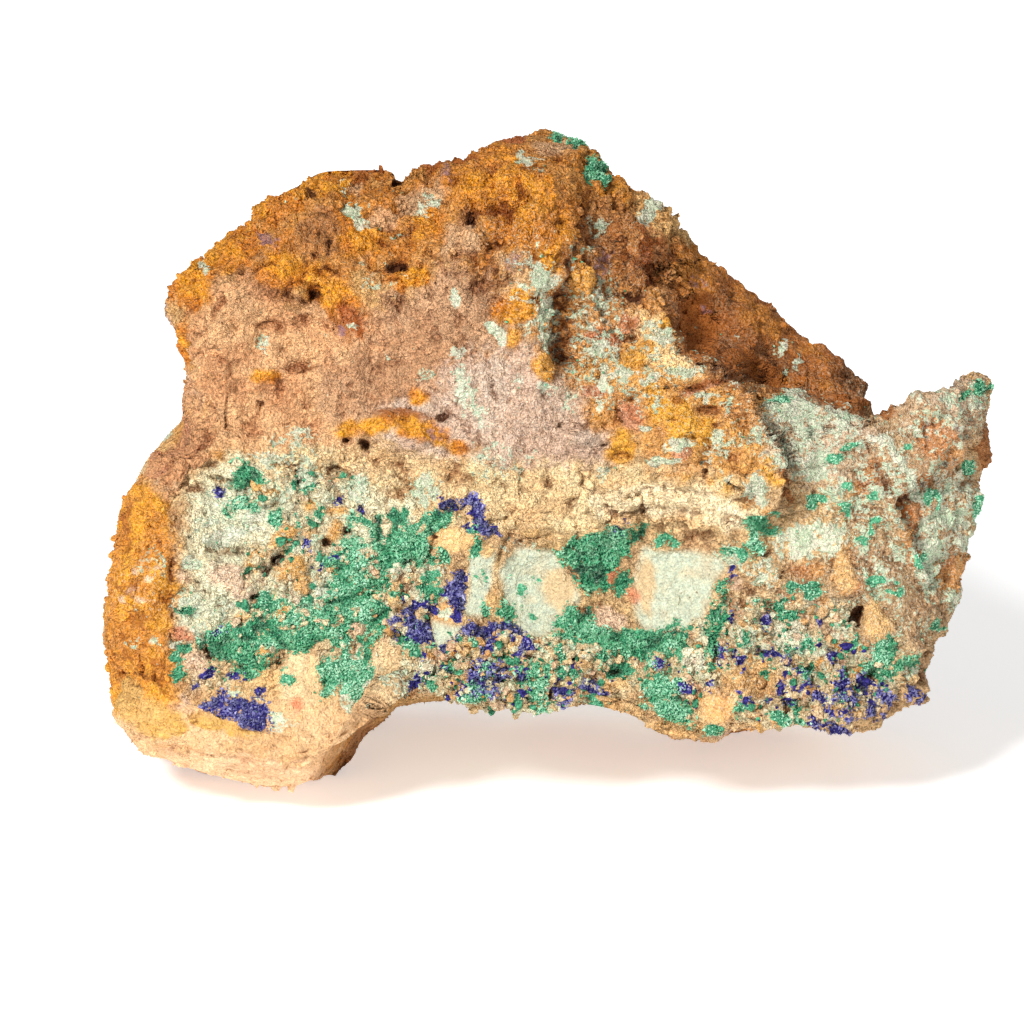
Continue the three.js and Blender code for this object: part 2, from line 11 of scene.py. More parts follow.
import bpy
import numpy as np
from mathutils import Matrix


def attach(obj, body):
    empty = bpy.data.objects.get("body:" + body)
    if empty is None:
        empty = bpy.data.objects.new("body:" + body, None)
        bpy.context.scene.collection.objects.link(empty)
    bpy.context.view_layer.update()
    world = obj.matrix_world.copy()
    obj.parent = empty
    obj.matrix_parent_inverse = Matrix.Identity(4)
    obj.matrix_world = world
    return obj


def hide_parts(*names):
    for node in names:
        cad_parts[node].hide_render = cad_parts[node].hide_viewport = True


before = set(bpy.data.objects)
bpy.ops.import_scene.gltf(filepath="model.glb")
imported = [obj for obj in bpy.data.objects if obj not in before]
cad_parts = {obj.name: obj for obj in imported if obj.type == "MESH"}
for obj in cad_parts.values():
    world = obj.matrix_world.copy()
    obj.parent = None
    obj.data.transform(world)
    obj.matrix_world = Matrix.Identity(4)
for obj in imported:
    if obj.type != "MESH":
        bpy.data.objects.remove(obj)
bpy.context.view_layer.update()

LOG = logging.getLogger("malachite")
Array = np.ndarray
MM = 0.001  # metres in a millimetre
MIDDLE = (4.316, 18.86)  # where the middle of the stone's box lies, across and into the face's own frame
LEAN = np.radians(18)  # how far the display face leans back from upright
GRID = 276  # cells along each side of the front's square grid; the back's has half as many
UNDER, RIGHT, OVER = 1 / 8, 3 / 8, 0.55  # places around the rim: its lower edge, its right side, its crown
TOP, TOP_GIVE = 76.5, 2.5  # the relief may rise above this height by no more than this, in millimetres


# ---- Noise and small maths ----
def smooth(value: Array) -> Array:
    """3t^2 - 2t^3 of a value held between 0 and 1."""
    t = np.clip(value, 0, 1)
    return t * t * (3 - 2 * t)


def mix(a: Array, b: Array, t: Array) -> Array:
    """Goes from a to b as t goes from 0 to 1."""
    return a + (b - a) * t


def lattice(i: Array, j: Array, k: Array) -> Array:
    """A number from 0 to 1 for each triple of whole numbers, by multiplying and folding their bits."""
    h = i.astype(np.uint32) * np.uint32(0x9E3779B1)
    h ^= j.astype(np.uint32) * np.uint32(0x85EBCA77)
    h ^= k.astype(np.uint32) * np.uint32(0xC2B2AE3D)
    h = (h ^ (h >> np.uint32(15))) * np.uint32(0x2C1B3C6D)
    h = (h ^ (h >> np.uint32(12))) * np.uint32(0x297A2D39)
    return (h ^ (h >> np.uint32(15))) / 4294967296.0


def noise(points: Array, wave: float, seed: int = 0) -> Array:
    """Smooth noise from -1 to 1: lattice numbers blended over each unit cube.

    Args:
        points: rows of x, y, z.
        wave: the size of its features, in the points' units.
        seed: shifts the pattern.

    Returns:
        One number a row.
    """
    scaled = points / wave + seed * 17.31
    cell = np.floor(scaled).astype(np.int64)
    fx, fy, fz = smooth(scaled - cell).T
    i, j, k = cell.T

    def row(dj: int, dk: int) -> Array:
        """The blend along x of one edge of the cube."""
        return mix(lattice(i, j + dj, k + dk), lattice(i + 1, j + dj, k + dk), fx)

    return 2 * mix(mix(row(0, 0), row(1, 0), fy), mix(row(0, 1), row(1, 1), fy), fz) - 1


def fractal(points: Array, wave: float, octaves: int, seed: int = 0) -> Array:
    """Noise summed over octaves, each half the size and half the height of the one before."""
    return sum(0.5**n * noise(points, wave * 0.5**n, seed + n) for n in range(octaves))


def lumps(points: Array, wave: float, seed: int = 0) -> Array:
    """Swollen lumps parted by sharp creases: twice the size of noise, less a half."""
    return 2 * np.abs(noise(points, wave, seed)) - 0.5


def crowd(points: Array, wave: float, seed: int = 0) -> tuple[Array, Array, Array]:
    """Lumps that crowd each other, one round each of many scattered centres.

    Args:
        points: rows of x, y, z.
        wave: the spacing of the centres.
        seed: shifts the pattern.

    Returns:
        For each row: a dome's height, 1 - (distance to the nearest centre)^2; a facet's height, the offset
        from that centre along a direction of the lump's own; and a number from 0 to 1 of the lump's own.
    """
    scaled = points / wave + seed * 11.7
    cell = np.floor(scaled).astype(np.int64)
    nearest, facet, pick = np.full(len(points), 9.0), np.zeros(len(points)), np.zeros(len(points))
    for shift in np.ndindex(3, 3, 3):
        i, j, k = (cell + np.array(shift) - 1).T
        chance = np.stack([lattice(i, j, k), lattice(j, k, i + 91), lattice(k, i, j + 57)], 1)
        offset = scaled - np.stack([i, j, k], 1) - chance
        distance = (offset**2).sum(1)
        closer = distance < nearest
        tilt = ((chance * 7.3 % 1 - 0.5) * offset).sum(1)
        facet, pick = np.where(closer, tilt, facet), np.where(closer, lattice(i + 7, k, j), pick)
        nearest = np.minimum(nearest, distance)
    return 1 - nearest, facet, pick


def unit(vectors: Array) -> Array:
    """Rows of vectors made one long."""
    return vectors / np.maximum(np.linalg.norm(vectors, axis=-1, keepdims=True), 1e-12)


def linear(colour: str) -> Array:
    """A colour such as d8a070 as linear red, green and blue."""
    rgb = np.array([int(colour[n : n + 2], 16) for n in (0, 2, 4)]) / 255
    return np.where(rgb <= 0.04045, rgb / 12.92, ((rgb + 0.055) / 1.055) ** 2.4)


# ---- The forms drawn on the face ----
@dataclass(frozen=True)
class Oval:
    """A soft oval on the face: its centre, half widths, amount and turn in degrees."""

    x: float
    u: float
    rx: float
    ru: float
    amount: float = 1
    turn: float = 0

    def away(self, x: Array, u: Array) -> Array:
        """How far points are from the centre, in half widths."""
        angle = np.radians(self.turn)
        dx, du = x - self.x, u - self.u
        along = (dx * np.cos(angle) + du * np.sin(angle)) / self.rx
        across = (du * np.cos(angle) - dx * np.sin(angle)) / self.ru
        return np.hypot(along, across)

    def swelling(self, x: Array, u: Array) -> Array:
        """The amount times exp(-away^2)."""
        return self.amount * np.exp(-self.away(x, u) ** 2)

    def sharp(self, x: Array, u: Array) -> Array:
        """The amount times exp(-away^4), which has steeper walls."""
        return self.amount * np.exp(-self.away(x, u) ** 4)

    def cover(self, x: Array, u: Array, edge: float) -> Array:
        """The amount inside, falling to nothing over an edge given in half widths."""
        return self.amount * smooth((1 + edge / 2 - self.away(x, u)) / edge)


@dataclass(frozen=True)
class Line:
    """A line of turns, each x, u and an amount, and a width across it."""

    width: float
    turns: tuple

    def nearest(self, x: Array, u: Array) -> tuple[Array, Array, Array]:
        """The distance to the line, the side (+1 is the right hand) and the amount there."""
        distance = np.full(x.shape, np.inf)
        side = np.zeros(x.shape)
        amount = np.zeros(x.shape)
        for (x0, u0, a0), (x1, u1, a1) in zip(self.turns, self.turns[1:]):
            ex, eu = x1 - x0, u1 - u0
            t = np.clip(((x - x0) * ex + (u - u0) * eu) / (ex * ex + eu * eu), 0, 1)
            dx, du = x - x0 - t * ex, u - u0 - t * eu
            far = np.hypot(dx, du)
            closer = far < distance
            distance = np.where(closer, far, distance)
            side = np.where(closer, np.sign(dx * eu - du * ex), side)
            amount = np.where(closer, mix(a0, a1, t), amount)
        return distance, side, amount

    def step(self, x: Array, u: Array) -> Array:
        """A drop on the right hand of the line: amount * smooth(0.5 + side * distance / width)."""
        distance, side, amount = self.nearest(x, u)
        return amount * smooth(0.5 + side * distance / self.width)

    def groove(self, x: Array, u: Array) -> Array:
        """A rounded ditch along the line: amount * exp(-(distance / width)^2)."""
        distance, _, amount = self.nearest(x, u)
        return amount * np.exp(-((distance / self.width) ** 2))


def ovals(*rows: tuple) -> tuple:
    """Ovals from rows of their numbers."""
    return tuple(Oval(*row) for row in rows)


RIM = (  # x, u and depth at each turn of the rim, in four sides that run anticlockwise
    (
        (-46.5, 4.3, 2), (-44, 3.9, 1), (-41.8, 3, 0), (-39.5, 1.9, 0), (-35.5, 1.2, 0), (-33, 0.5, 0),
        (-30, 0, 0), (-27, 0.3, 0), (-24.5, 1, 0), (-22.5, 2.8, 0), (-21, 5.5, 0), (-19.5, 8.5, 0),
        (-17.5, 10.3, 0), (-16, 11.8, 0), (-13, 10.8, 0), (-10, 11.4, 0), (-6, 11.5, 0), (-2, 11.2, 0),
        (1.5, 10.8, 0), (6, 11.1, 0), (12, 11, 0), (14.5, 10.2, 0), (16.5, 9.5, 0), (18, 8, 0),
        (19.8, 6.9, 0), (22, 6.9, 0), (25, 6.4, 0), (29, 7.4, 0), (33, 8, 0), (37, 8.8, 0), (41, 8.5, 0),
        (44, 9, 1), (46.5, 10.3, 1), (48.5, 11, 2), (50, 12.1, 3),
    ),
    (
        (52.3, 12.2, 4), (52.6, 14, 4), (52.4, 16.5, 4), (52.8, 19, 4), (53.6, 21, 5), (55.2, 22.5, 5),
        (56.2, 24.5, 5), (56.8, 26.5, 5), (56.4, 28, 5), (57.2, 30, 5), (57, 33, 5), (57.9, 34, 5),
        (57.8, 36.3, 6), (58.9, 38, 6), (58.3, 40, 7), (59.9, 43, 8), (59.9, 45, 7), (59.3, 47.5, 6),
        (59.7, 50, 6), (60.1, 52.5, 6), (59.8, 53.4, 6), (58.5, 53.6, 6), (56.5, 52.3, 6), (55, 50.4, 7),
        (53, 48.6, 7), (50.5, 47.4, 8), (48, 47.2, 10), (46.2, 48.2, 12), (44.8, 50.2, 14), (44.5, 51.4, 15),
        (42.3, 54.2, 16), (40.7, 55.6, 17), (39, 56.8, 17), (37.8, 56.9, 17), (36.5, 58.2, 17),
        (34, 60.2, 17), (32.5, 62.2, 17), (29.8, 64.1, 17), (26.7, 66.2, 16),
    ),
    (
        (23.9, 68.1, 15), (22.5, 69.9, 14), (20, 72.6, 13), (17.6, 74.4, 12), (14.8, 75.9, 11),
        (12.9, 77.7, 11), (11.8, 78.6, 11), (11.2, 80.2, 11), (10.3, 81, 11), (8.8, 81.3, 11), (8, 82.8, 11),
        (6.5, 83.5, 11), (4.5, 84.3, 10), (3.4, 84.7, 10), (2.5, 83.6, 10), (0.5, 83, 9), (-1.6, 82.7, 9),
        (-3.5, 81, 9), (-6, 80.3, 9), (-10, 80.1, 9), (-13, 79.6, 9), (-13.9, 78.9, 9), (-14.8, 79.8, 9),
        (-17, 80.1, 9), (-21, 80.1, 9), (-24, 79.8, 9), (-27, 78.3, 9), (-30, 76.2, 9), (-32.3, 74.7, 9),
        (-32.6, 73.2, 9), (-34, 72, 9), (-36, 71.2, 9),
    ),
    (
        (-37, 70, 9), (-38.8, 68.1, 8), (-40.2, 67.8, 8), (-41.3, 66, 8), (-42.4, 64, 8), (-42.8, 62.3, 8),
        (-41.5, 59.5, 8), (-40.8, 56, 8), (-40.7, 53, 8), (-41.5, 50, 8), (-41.9, 47.5, 8), (-43.3, 45, 7),
        (-44.7, 45.1, 7), (-46.2, 44.5, 7), (-47, 42, 7), (-48.8, 39.8, 7), (-50.4, 37, 7), (-51.2, 33, 7),
        (-51.9, 29, 7), (-52.9, 24, 7), (-52.5, 19, 6), (-51.9, 14.5, 5), (-51.4, 10.5, 4), (-49.4, 7, 3),
    ),
)
SWELLINGS = ovals(  # swellings and hollows of the face, with the rise towards the viewer
    (-27, 54, 13, 9, -2.2), (-6, 66, 5, 8, 2.2, 8), (3.5, 68, 4, 12, 3), (11, 71, 2.4, 9, -4, 14),
    (7, 58, 2, 9, -3, -2), (15.5, 65, 4, 2.6, -3.5, -12), (15.5, 71, 2.2, 6, 1.5), (24, 46, 12, 10, 4, -20),
    (-33, 6, 17, 9, 2.5, -6), (-30, 28, 12, 13, -1.8), (3, 27, 5, 5.5, -1.6), (18.5, 28, 8, 5.5, -2),
    (17, 21, 11, 3, 0.8), (0, 16, 12, 5), (33, 13, 12, 5, 1.5), (35, 22, 3, 2.6, -1.6),
    (43, 23.5, 2, 2, -1.6), (48, 38, 1.8, 10, 1.2, 26), (56, 26, 10, 16, -3),
)
STEPS = (  # where the face breaks down to a lower level on the right hand of the line
    Line(2.8, (
        (48, 45, 0), (45.5, 47, 1.5), (44, 48.2, 4), (40, 49.8, 7), (35, 51, 9), (32, 52, 10), (29.8, 53, 11),
        (28.2, 55.3, 12), (26, 57.4, 12), (23.2, 57.4, 12.5), (22, 60, 11.5), (20, 63, 9), (17.4, 66, 6),
        (17.1, 70, 3), (16.6, 77, 0.5), (16.6, 80, 0),
    )),
    Line(1.3, (
        (-3, 36, 0), (5, 33.6, 0.5), (14, 33.2, 0.8), (25, 33.4, 0.9), (30, 34.4, 1.6), (33, 36, 3.2),
        (34.9, 39, 4.5), (35, 43, 5), (33.6, 46, 5), (31.6, 49, 4.5), (30.2, 52.4, 3.5), (28, 54, 0),
    )),
    Line(0.9, (
        (54.5, 25.5, 0), (53.4, 28, 1.4), (51.2, 31, 2), (49.2, 34.6, 2.4), (48.2, 37.6, 2.4),
        (49.6, 38.8, 2.4), (52.4, 41.2, 2.4), (55, 43.2, 1.8), (58.5, 45.6, 1), (61, 47, 0),
    )),
    Line(1.8, (
        (-53, 17, 0), (-51, 17, -0.3), (-44, 16.6, -0.7), (-40, 14.6, -1), (-33, 11.6, -1.1), (-28, 10.6, -1),
        (-23, 9.6, -0.7), (-19, 11, -0.3), (-16, 12, 0),
    )),
    Line(1.8, (
        (-39, 43, 0), (-39.8, 36, -0.5), (-40.6, 30, -0.6), (-41, 24, -0.6), (-41.6, 19, -0.4), (-42, 16, 0),
    )),
)
LEDGES = (  # small breaks of the face, finer than the steps
    Line(0.9, ((-33, 66, 0), (-30, 64.6, 0.7), (-25, 62, 1.1), (-22, 59, 1), (-20.6, 57.6, 0.2))),
    Line(0.9, ((-6, 49.6, 0), (-11, 48.6, 0.7), (-17, 49.2, 0.9), (-22, 48.6, 0.6), (-25, 48, 0))),
    Line(0.8, ((-21, 44.2, 0), (-16, 43.8, 0.7), (-10, 44.6, 0.6), (-4, 43, 0.2))),
    Line(0.9, ((-4.4, 77, 0), (-5, 72, 1), (-8.6, 69.6, 0.8), (-13, 70.6, 0.3))),
    Line(0.8, ((-36, 54.6, 0), (-33, 52, 0.7), (-29.6, 52.4, 0.6), (-28, 55, 0))),
    Line(0.9, (
        (20, 72, 0), (21.4, 68, 1.2), (24.6, 64.6, 1.4), (29, 60.4, 1.3), (34, 56.6, 1.1), (40, 53.6, 0.4),
    )),
    Line(0.8, ((33, 31, 0), (36.4, 29.8, 0.6), (40, 31, 0.5), (44, 33.4, 0))),
)
BACK_PLANES = (  # reach, and its change by x and by u, of the planes the back is broken along
    (32, -0.06, -0.05), (34, 0.22, -0.16), (66, 0.85, 0.05), (54, -0.62, -0.1), (44, 0.1, -0.75),
    (40, -0.5, -0.45),
)
BACK_SWELLINGS = ovals(  # swellings and hollows of the back, with the rise away from the viewer
    (-20, 52, 14, 10, -3.5, 30), (18, 30, 10, 8, -3, -20), (2, 44, 6, 16, 2.5, -25), (-28, 22, 12, 9, 2),
)
PADS = ((-27, 4, 8), (-37, 9, 7), (-33, 26, 9), (26, 22, 7), (38, 27, 8))  # x, depth and half width
FOOT = Oval(-33, 5, 19, 12, 0.7)  # the front of the foot, which swells less than the rest
NOTCH = Oval(-19, 7.5, 5, 6)  # the notch beside the foot, whose brink stays smooth


@dataclass(frozen=True)
class Rounding:
    """How the skin turns into the rim, as shares of the half width and of the depth."""

    out: Array
    keep: Array

    def profile(self, t: Array) -> tuple[Array, Array]:
        """Flat from the middle, then a quarter ellipse, then straight to the rim.

        Args:
            t: 0 in the middle of the face and 1 at the rim.

        Returns:
            How far out a ring lies, and how much of the face's own depth it keeps.
        """
        share = 0.5
        flat = 1 - self.out
        arc = np.pi / 2 * np.hypot(self.out, share * self.keep) * np.sqrt(0.5)
        straight = share * (1 - self.keep)
        run = t * (flat + arc + straight)
        angle = np.pi / 2 * np.clip((run - flat) / arc, 0, 1)
        curved = flat + self.out * np.sin(angle), 1 - self.keep * (1 - np.cos(angle))
        fall = np.maximum(0, 1 - (run - flat - arc) / straight)
        out = np.where(run < flat, run, np.where(run < flat + arc, curved[0], 1))
        keep = np.where(run < flat, 1, np.where(run < flat + arc, curved[1], (1 - self.keep) * fall))
        return out, keep


@dataclass
class Rim:
    """The closed line that parts the front of the stone from its back, sampled evenly along each side.

    Three smoother lines go with it, each the mean over so many samples to each side.
    """

    side_steps: int = 400
    worn_reach: int = 20
    eased_reach: int = 7
    inner_reach: int = 114
    samples: Array = field(init=False)
    worn: Array = field(init=False)
    eased: Array = field(init=False)
    inner: Array = field(init=False)

    def __post_init__(self) -> None:
        """Samples the curve and takes its means."""
        total = sum(len(side) for side in RIM)
        turns = np.array([turn for side in RIM for turn in side], float)
        rows, first = [], 0
        for side in RIM:
            steps = np.arange(self.side_steps + 1) / self.side_steps
            fine = self.curve(turns, (first + len(side) * steps) / total % 1)
            run = np.append(0, np.cumsum(np.linalg.norm(np.diff(fine, axis=0), axis=1)))
            even = run[-1] * steps[:-1]
            rows.append(np.stack([np.interp(even, run, fine[:, axis]) for axis in range(3)], 1))
            first += len(side)
        self.samples = np.concatenate(rows)
        self.worn = self.averaged(self.worn_reach)
        self.eased = self.averaged(self.eased_reach)
        self.inner = self.averaged(self.inner_reach)

    @staticmethod
    def curve(turns: Array, at: Array) -> Array:
        """A closed centripetal Catmull-Rom curve through the turns, at places from 0 to 1."""
        place = len(turns) * at
        n = np.floor(place).astype(int)
        w = (place - n)[:, None]
        p0, p1, p2, p3 = (turns[(n + k) % len(turns)] for k in (-1, 0, 1, 2))
        pairs = (p0, p1), (p1, p2), (p2, p3)
        d0, d1, d2 = (np.sqrt(np.linalg.norm(q - p, axis=1))[:, None] for p, q in pairs)
        t1 = d1 * ((p1 - p0) / d0 - (p2 - p0) / (d0 + d1) + (p2 - p1) / d1)
        t2 = d1 * ((p2 - p1) / d1 - (p3 - p1) / (d1 + d2) + (p3 - p2) / d2)
        cube = 2 * p1 - 2 * p2 + t1 + t2
        return p1 + t1 * w + (3 * p2 - 3 * p1 - 2 * t1 - t2) * w**2 + cube * w**3

    def averaged(self, reach: int) -> Array:
        """The plain mean of each sample and its neighbours to each side."""
        return sum(np.roll(self.samples, k, axis=0) for k in range(-reach, reach + 1)) / (2 * reach + 1)

    @staticmethod
    def at(rows: Array, around: Array) -> Array:
        """Rows blended between samples at places around from 0 to 1."""
        place = around * len(rows)
        n = np.floor(place).astype(int)
        return mix(rows[n % len(rows)], rows[(n + 1) % len(rows)], (place - n)[:, None])


def upright(x: Array, u: Array, depth: Array) -> Array:
    """From the face's own x, u and depth to the stone's place, in millimetres."""
    across = x - MIDDLE[0]
    into = depth * np.cos(LEAN) + u * np.sin(LEAN) - MIDDLE[1]
    return np.stack([across, into, u * np.cos(LEAN) - depth * np.sin(LEAN)], -1)


@dataclass
class Skin:
    """The stone's whole skin as a mesh, with what is known at each of its points."""

    points: Array
    faces: Array
    cells: Array  # the four corners of each cell of both grids
    x: Array
    u: Array
    keep: Array  # how much of the face's own depth a point has: none at the rim and all in the middle
    front: Array
    grid_uv: Array
    fields: dict = field(default_factory=dict)  # the numbers and colours that the finishes read
    covers: dict = field(default_factory=dict)  # where each crust grows

    def normals(self) -> Array:
        """Area-weighted normals of the points."""
        a, b, c = (self.points[self.faces[:, n]] for n in range(3))
        face = np.cross(b - a, c - a)
        total = np.stack([
            sum(np.bincount(self.faces[:, n], face[:, axis], len(self.points)) for n in range(3))
            for axis in range(3)
        ], 1)
        return unit(total)

    def areas(self) -> Array:
        """The area of each four-cornered cell."""
        a, b, c, d = (self.points[self.cells[:, n]] for n in range(4))
        return np.linalg.norm(np.cross(c - a, d - b), axis=1) / 2


@dataclass
class StoneShape:
    """The stone's outer form: two square grids, the front's relief, the back's planes and the lumps."""

    bulge: float = 12  # how far the face stands out in its middle, in millimetres
    crown_from: float = 58  # the height on the face above which it falls back
    crown_ease: float = 75  # how gently it falls back there
    centre: tuple = (1, 40)  # the x and u that the rings of both sheets shrink to
    plane_blend: float = 1.5  # how widely the back's planes are blended
    inner_share: float = 0.55  # the share of the way to the rim over which a ring has no corners
    raised: float = 1.8  # how far the back is raised behind the lower edge, in millimetres
    lowered: float = 1.2  # how far it is lowered behind the crown
    drawn_in: float = 1.3  # how far it is drawn in behind the sides
    rim: Rim = field(default_factory=Rim)

    def front_depth(self, x: Array, u: Array) -> Array:
        """The depth of the display face: a dome's height, the swellings and the steps, turned about."""
        rise = self.bulge - np.maximum(0, u - self.crown_from) ** 2 / self.crown_ease
        rise = rise + sum(one.swelling(x, u) for one in SWELLINGS) - sum(one.step(x, u) for one in STEPS)
        return -rise

    def back_depth(self, x: Array, u: Array) -> Array:
        """The nearest of the back planes with rounded edges, by a soft minimum, and the swellings."""
        total = sum(np.exp(-(reach + by_x * x + by_u * (u - 40)) / self.plane_blend)
                    for reach, by_x, by_u in BACK_PLANES)
        return -self.plane_blend * np.log(total) + sum(one.swelling(x, u) for one in BACK_SWELLINGS)

    @staticmethod
    def underside(x: Array, depth: Array) -> Array:
        """How high the underside is above the ground: low at the pads, clear elsewhere."""
        height = 1.5 + 0.8 * noise(np.stack([x, depth, np.full(x.shape, 3.0)], 1), 6)
        for pad_x, pad_depth, half in PADS:
            height = height - 2.4 * np.exp(-((np.hypot(x - pad_x, depth - pad_depth) / half) ** 4))
        return height

    @staticmethod
    def around(a: Array, b: Array) -> Array:
        """The place around the rim, from 0 to 1, on the ray from the middle through a point of the square."""
        t = np.maximum(np.maximum(np.abs(a), np.abs(b)), 1e-9)
        p, q = a / t, b / t
        bottom, right, top = (b == -t) & (a < t), (a == t) & (b < t), (b == t) & (a > -t)
        return np.select([bottom, right, top], [(p + 1) / 8, 0.25 + (q + 1) / 8, 0.5 + (1 - p) / 8],
                         (0.75 + (1 - q) / 8) % 1)

    @staticmethod
    def near(around: Array, place: float, more: float) -> Array:
        """1 near a place of the rim and 0 away from it; the more, the wider."""
        return smooth(1.6 * np.cos(2 * np.pi * (around - place)) + more)

    def sheet(self, a: Array, b: Array, front: bool) -> tuple[Array, Array, Array, Array]:
        """x, u, depth and kept depth of the skin over a square sheet.

        Rings of the square are drawn from the middle of the face out to the rim, and the depth goes from
        the rim's to the face's own as the cross-section says. Only at the rim do the rings follow all its
        turns. Behind it the back is raised along the lower edge, lowered along the crown and drawn in at
        the sides, so that it stays hidden from the front.
        """
        rim, around = self.rim, self.around(a, b)
        edge, worn, inner = (Rim.at(rows, around) for rows in (rim.samples, rim.worn, rim.inner))
        under, over = self.near(around, UNDER, -0.38), self.near(around, OVER, 0.2)
        brink = under * smooth((edge[:, 0] + 14) / 8)
        out = mix(0.15, 0.05, brink) if front else mix(0.26, 0.12, under)
        rounding = Rounding(out, 0.95 if front else mix(0.62, 0.2, under))
        out, keep = rounding.profile(np.maximum(np.abs(a), np.abs(b)))
        softer = Rim.at(rim.eased, around) if front else worn
        softer[:, 1] = np.minimum(softer[:, 1], edge[:, 1] + 9 * (1 - over))
        edge = mix(edge, softer, smooth(keep / (0.4 if front else 0.3))[:, None])
        ring = mix(inner, edge, smooth((out - self.inner_share) / (1 - self.inner_share))[:, None])
        x, u = mix(self.centre[0], ring[:, 0], out), mix(self.centre[1], ring[:, 1], out)
        if front:
            return x, u, mix(ring[:, 2], self.front_depth(x, u), keep), keep
        clear_of_notch = np.maximum(smooth((x + 17.5) / 3), smooth((-24 - x) / 5))
        raised = self.raised * under * clear_of_notch - self.lowered * over
        drawn_in = self.drawn_in * smooth(1.6 * np.abs(np.cos(2 * np.pi * (around - RIGHT))) - 0.3)
        behind = smooth(keep / 0.12)
        x = x - drawn_in * np.sign(x) * behind * smooth(np.abs(x) / 10)
        u = u + raised * behind
        ground = u / np.tan(LEAN)
        lift = self.underside(x, ground) * smooth(keep / 0.2)
        lowest = np.maximum(ring[:, 2], ground - lift / np.sin(LEAN))
        return x, u, np.minimum(lowest, mix(ring[:, 2], self.back_depth(x, u), keep)), keep

    def skin(self) -> Skin:
        """Both sheets joined along the rim, with the lumps put on.

        The back's grid has every other row of the front's. Where a triangle of the back has an edge on the
        rim, it is parted at the rim point between, so the skin stays closed.
        """
        steps = np.linspace(-1, 1, GRID + 1)
        b, a = (grid.ravel() for grid in np.meshgrid(steps, steps, indexing="ij"))
        count = len(a)
        rows = np.arange(count).reshape(GRID + 1, GRID + 1)
        ring = np.concatenate([rows[0, :-1], rows[:-1, -1], rows[-1, :0:-1], rows[:0:-1, 0]])
        coarse = rows[::2, ::2]
        inner = coarse[1:-1, 1:-1].ravel()
        behind = coarse.copy()
        behind[1:-1, 1:-1] = count + np.arange(len(inner)).reshape(behind[1:-1, 1:-1].shape)
        parts = zip(self.sheet(a, b, True), self.sheet(a[inner], b[inner], False))
        x, u, depth, keep = (np.concatenate(pair) for pair in parts)
        points = upright(x, u, depth)
        front, back = self.quads(rows), self.quads(behind)[:, ::-1]
        faces = self.halved(front, points), self.parted(self.halved(back, points), ring, len(x))
        place = np.stack([np.append(a, a[inner]), np.append(b, b[inner])], 1) * 0.5 + 0.5
        uv = [place[half.ravel()] * (0.496, 0.992) + (0.002 + 0.5 * n, 0.004) for n, half in enumerate(faces)]
        skin = Skin(
            points=points,
            faces=np.concatenate(faces),
            cells=np.concatenate([front, back]),
            x=x,
            u=u,
            keep=keep,
            front=np.arange(len(x)) < count,
            grid_uv=np.concatenate(uv),
        )
        own = skin.points + (MIDDLE[0], MIDDLE[1], 0)
        height = (1.5 * noise(own, 15) + 0.8 * noise(own, 7)) * (1 - FOOT.swelling(x, u))
        skin.points = skin.points + skin.normals() * (height * smooth(keep / 0.6))[:, None]
        return skin

    @staticmethod
    def quads(rows: Array) -> Array:
        """The four corners of each cell of a grid of point numbers."""
        return np.stack([rows[:-1, :-1], rows[:-1, 1:], rows[1:, 1:], rows[1:, :-1]], -1).reshape(-1, 4)

    @staticmethod
    def halved(quads: Array, points: Array) -> Array:
        """Each cell cut into two triangles along its shorter diagonal."""
        a, b, c, d = (points[quads[:, n]] for n in range(4))
        first = (np.linalg.norm(a - c, axis=1) < np.linalg.norm(b - d, axis=1))[:, None, None]
        one = np.stack([quads[:, [0, 1, 2]], quads[:, [0, 2, 3]]], 1)
        two = np.stack([quads[:, [0, 1, 3]], quads[:, [1, 2, 3]]], 1)
        return np.where(first, one, two).reshape(-1, 3)

    @staticmethod
    def parted(faces: Array, ring: Array, total: int) -> Array:
        """Parts the triangles that lie along the rim at the rim points in between.

        Args:
            faces: rows of three points.
            ring: the rim's points in order.
            total: how many points there are.

        Returns:
            The triangles, of which those with two neighbouring rim points have become two.
        """
        place = np.full(total, -9)
        place[ring] = np.arange(len(ring))
        for k in range(3):
            start, end, other = (faces[:, (k + n) % 3] for n in range(3))
            gap = (place[end] - place[start]) % len(ring)
            on = (place[start] >= 0) & (place[end] >= 0) & ((gap == 2) | (gap == len(ring) - 2))
            way = np.where(gap[on] == 2, 1, -1)
            between = ring[(place[start[on]] + way) % len(ring)]
            split = np.concatenate([
                np.stack([start[on], between, other[on]], 1), np.stack([between, end[on], other[on]], 1)
            ])
            faces = np.concatenate([faces[~on], split])
        return faces


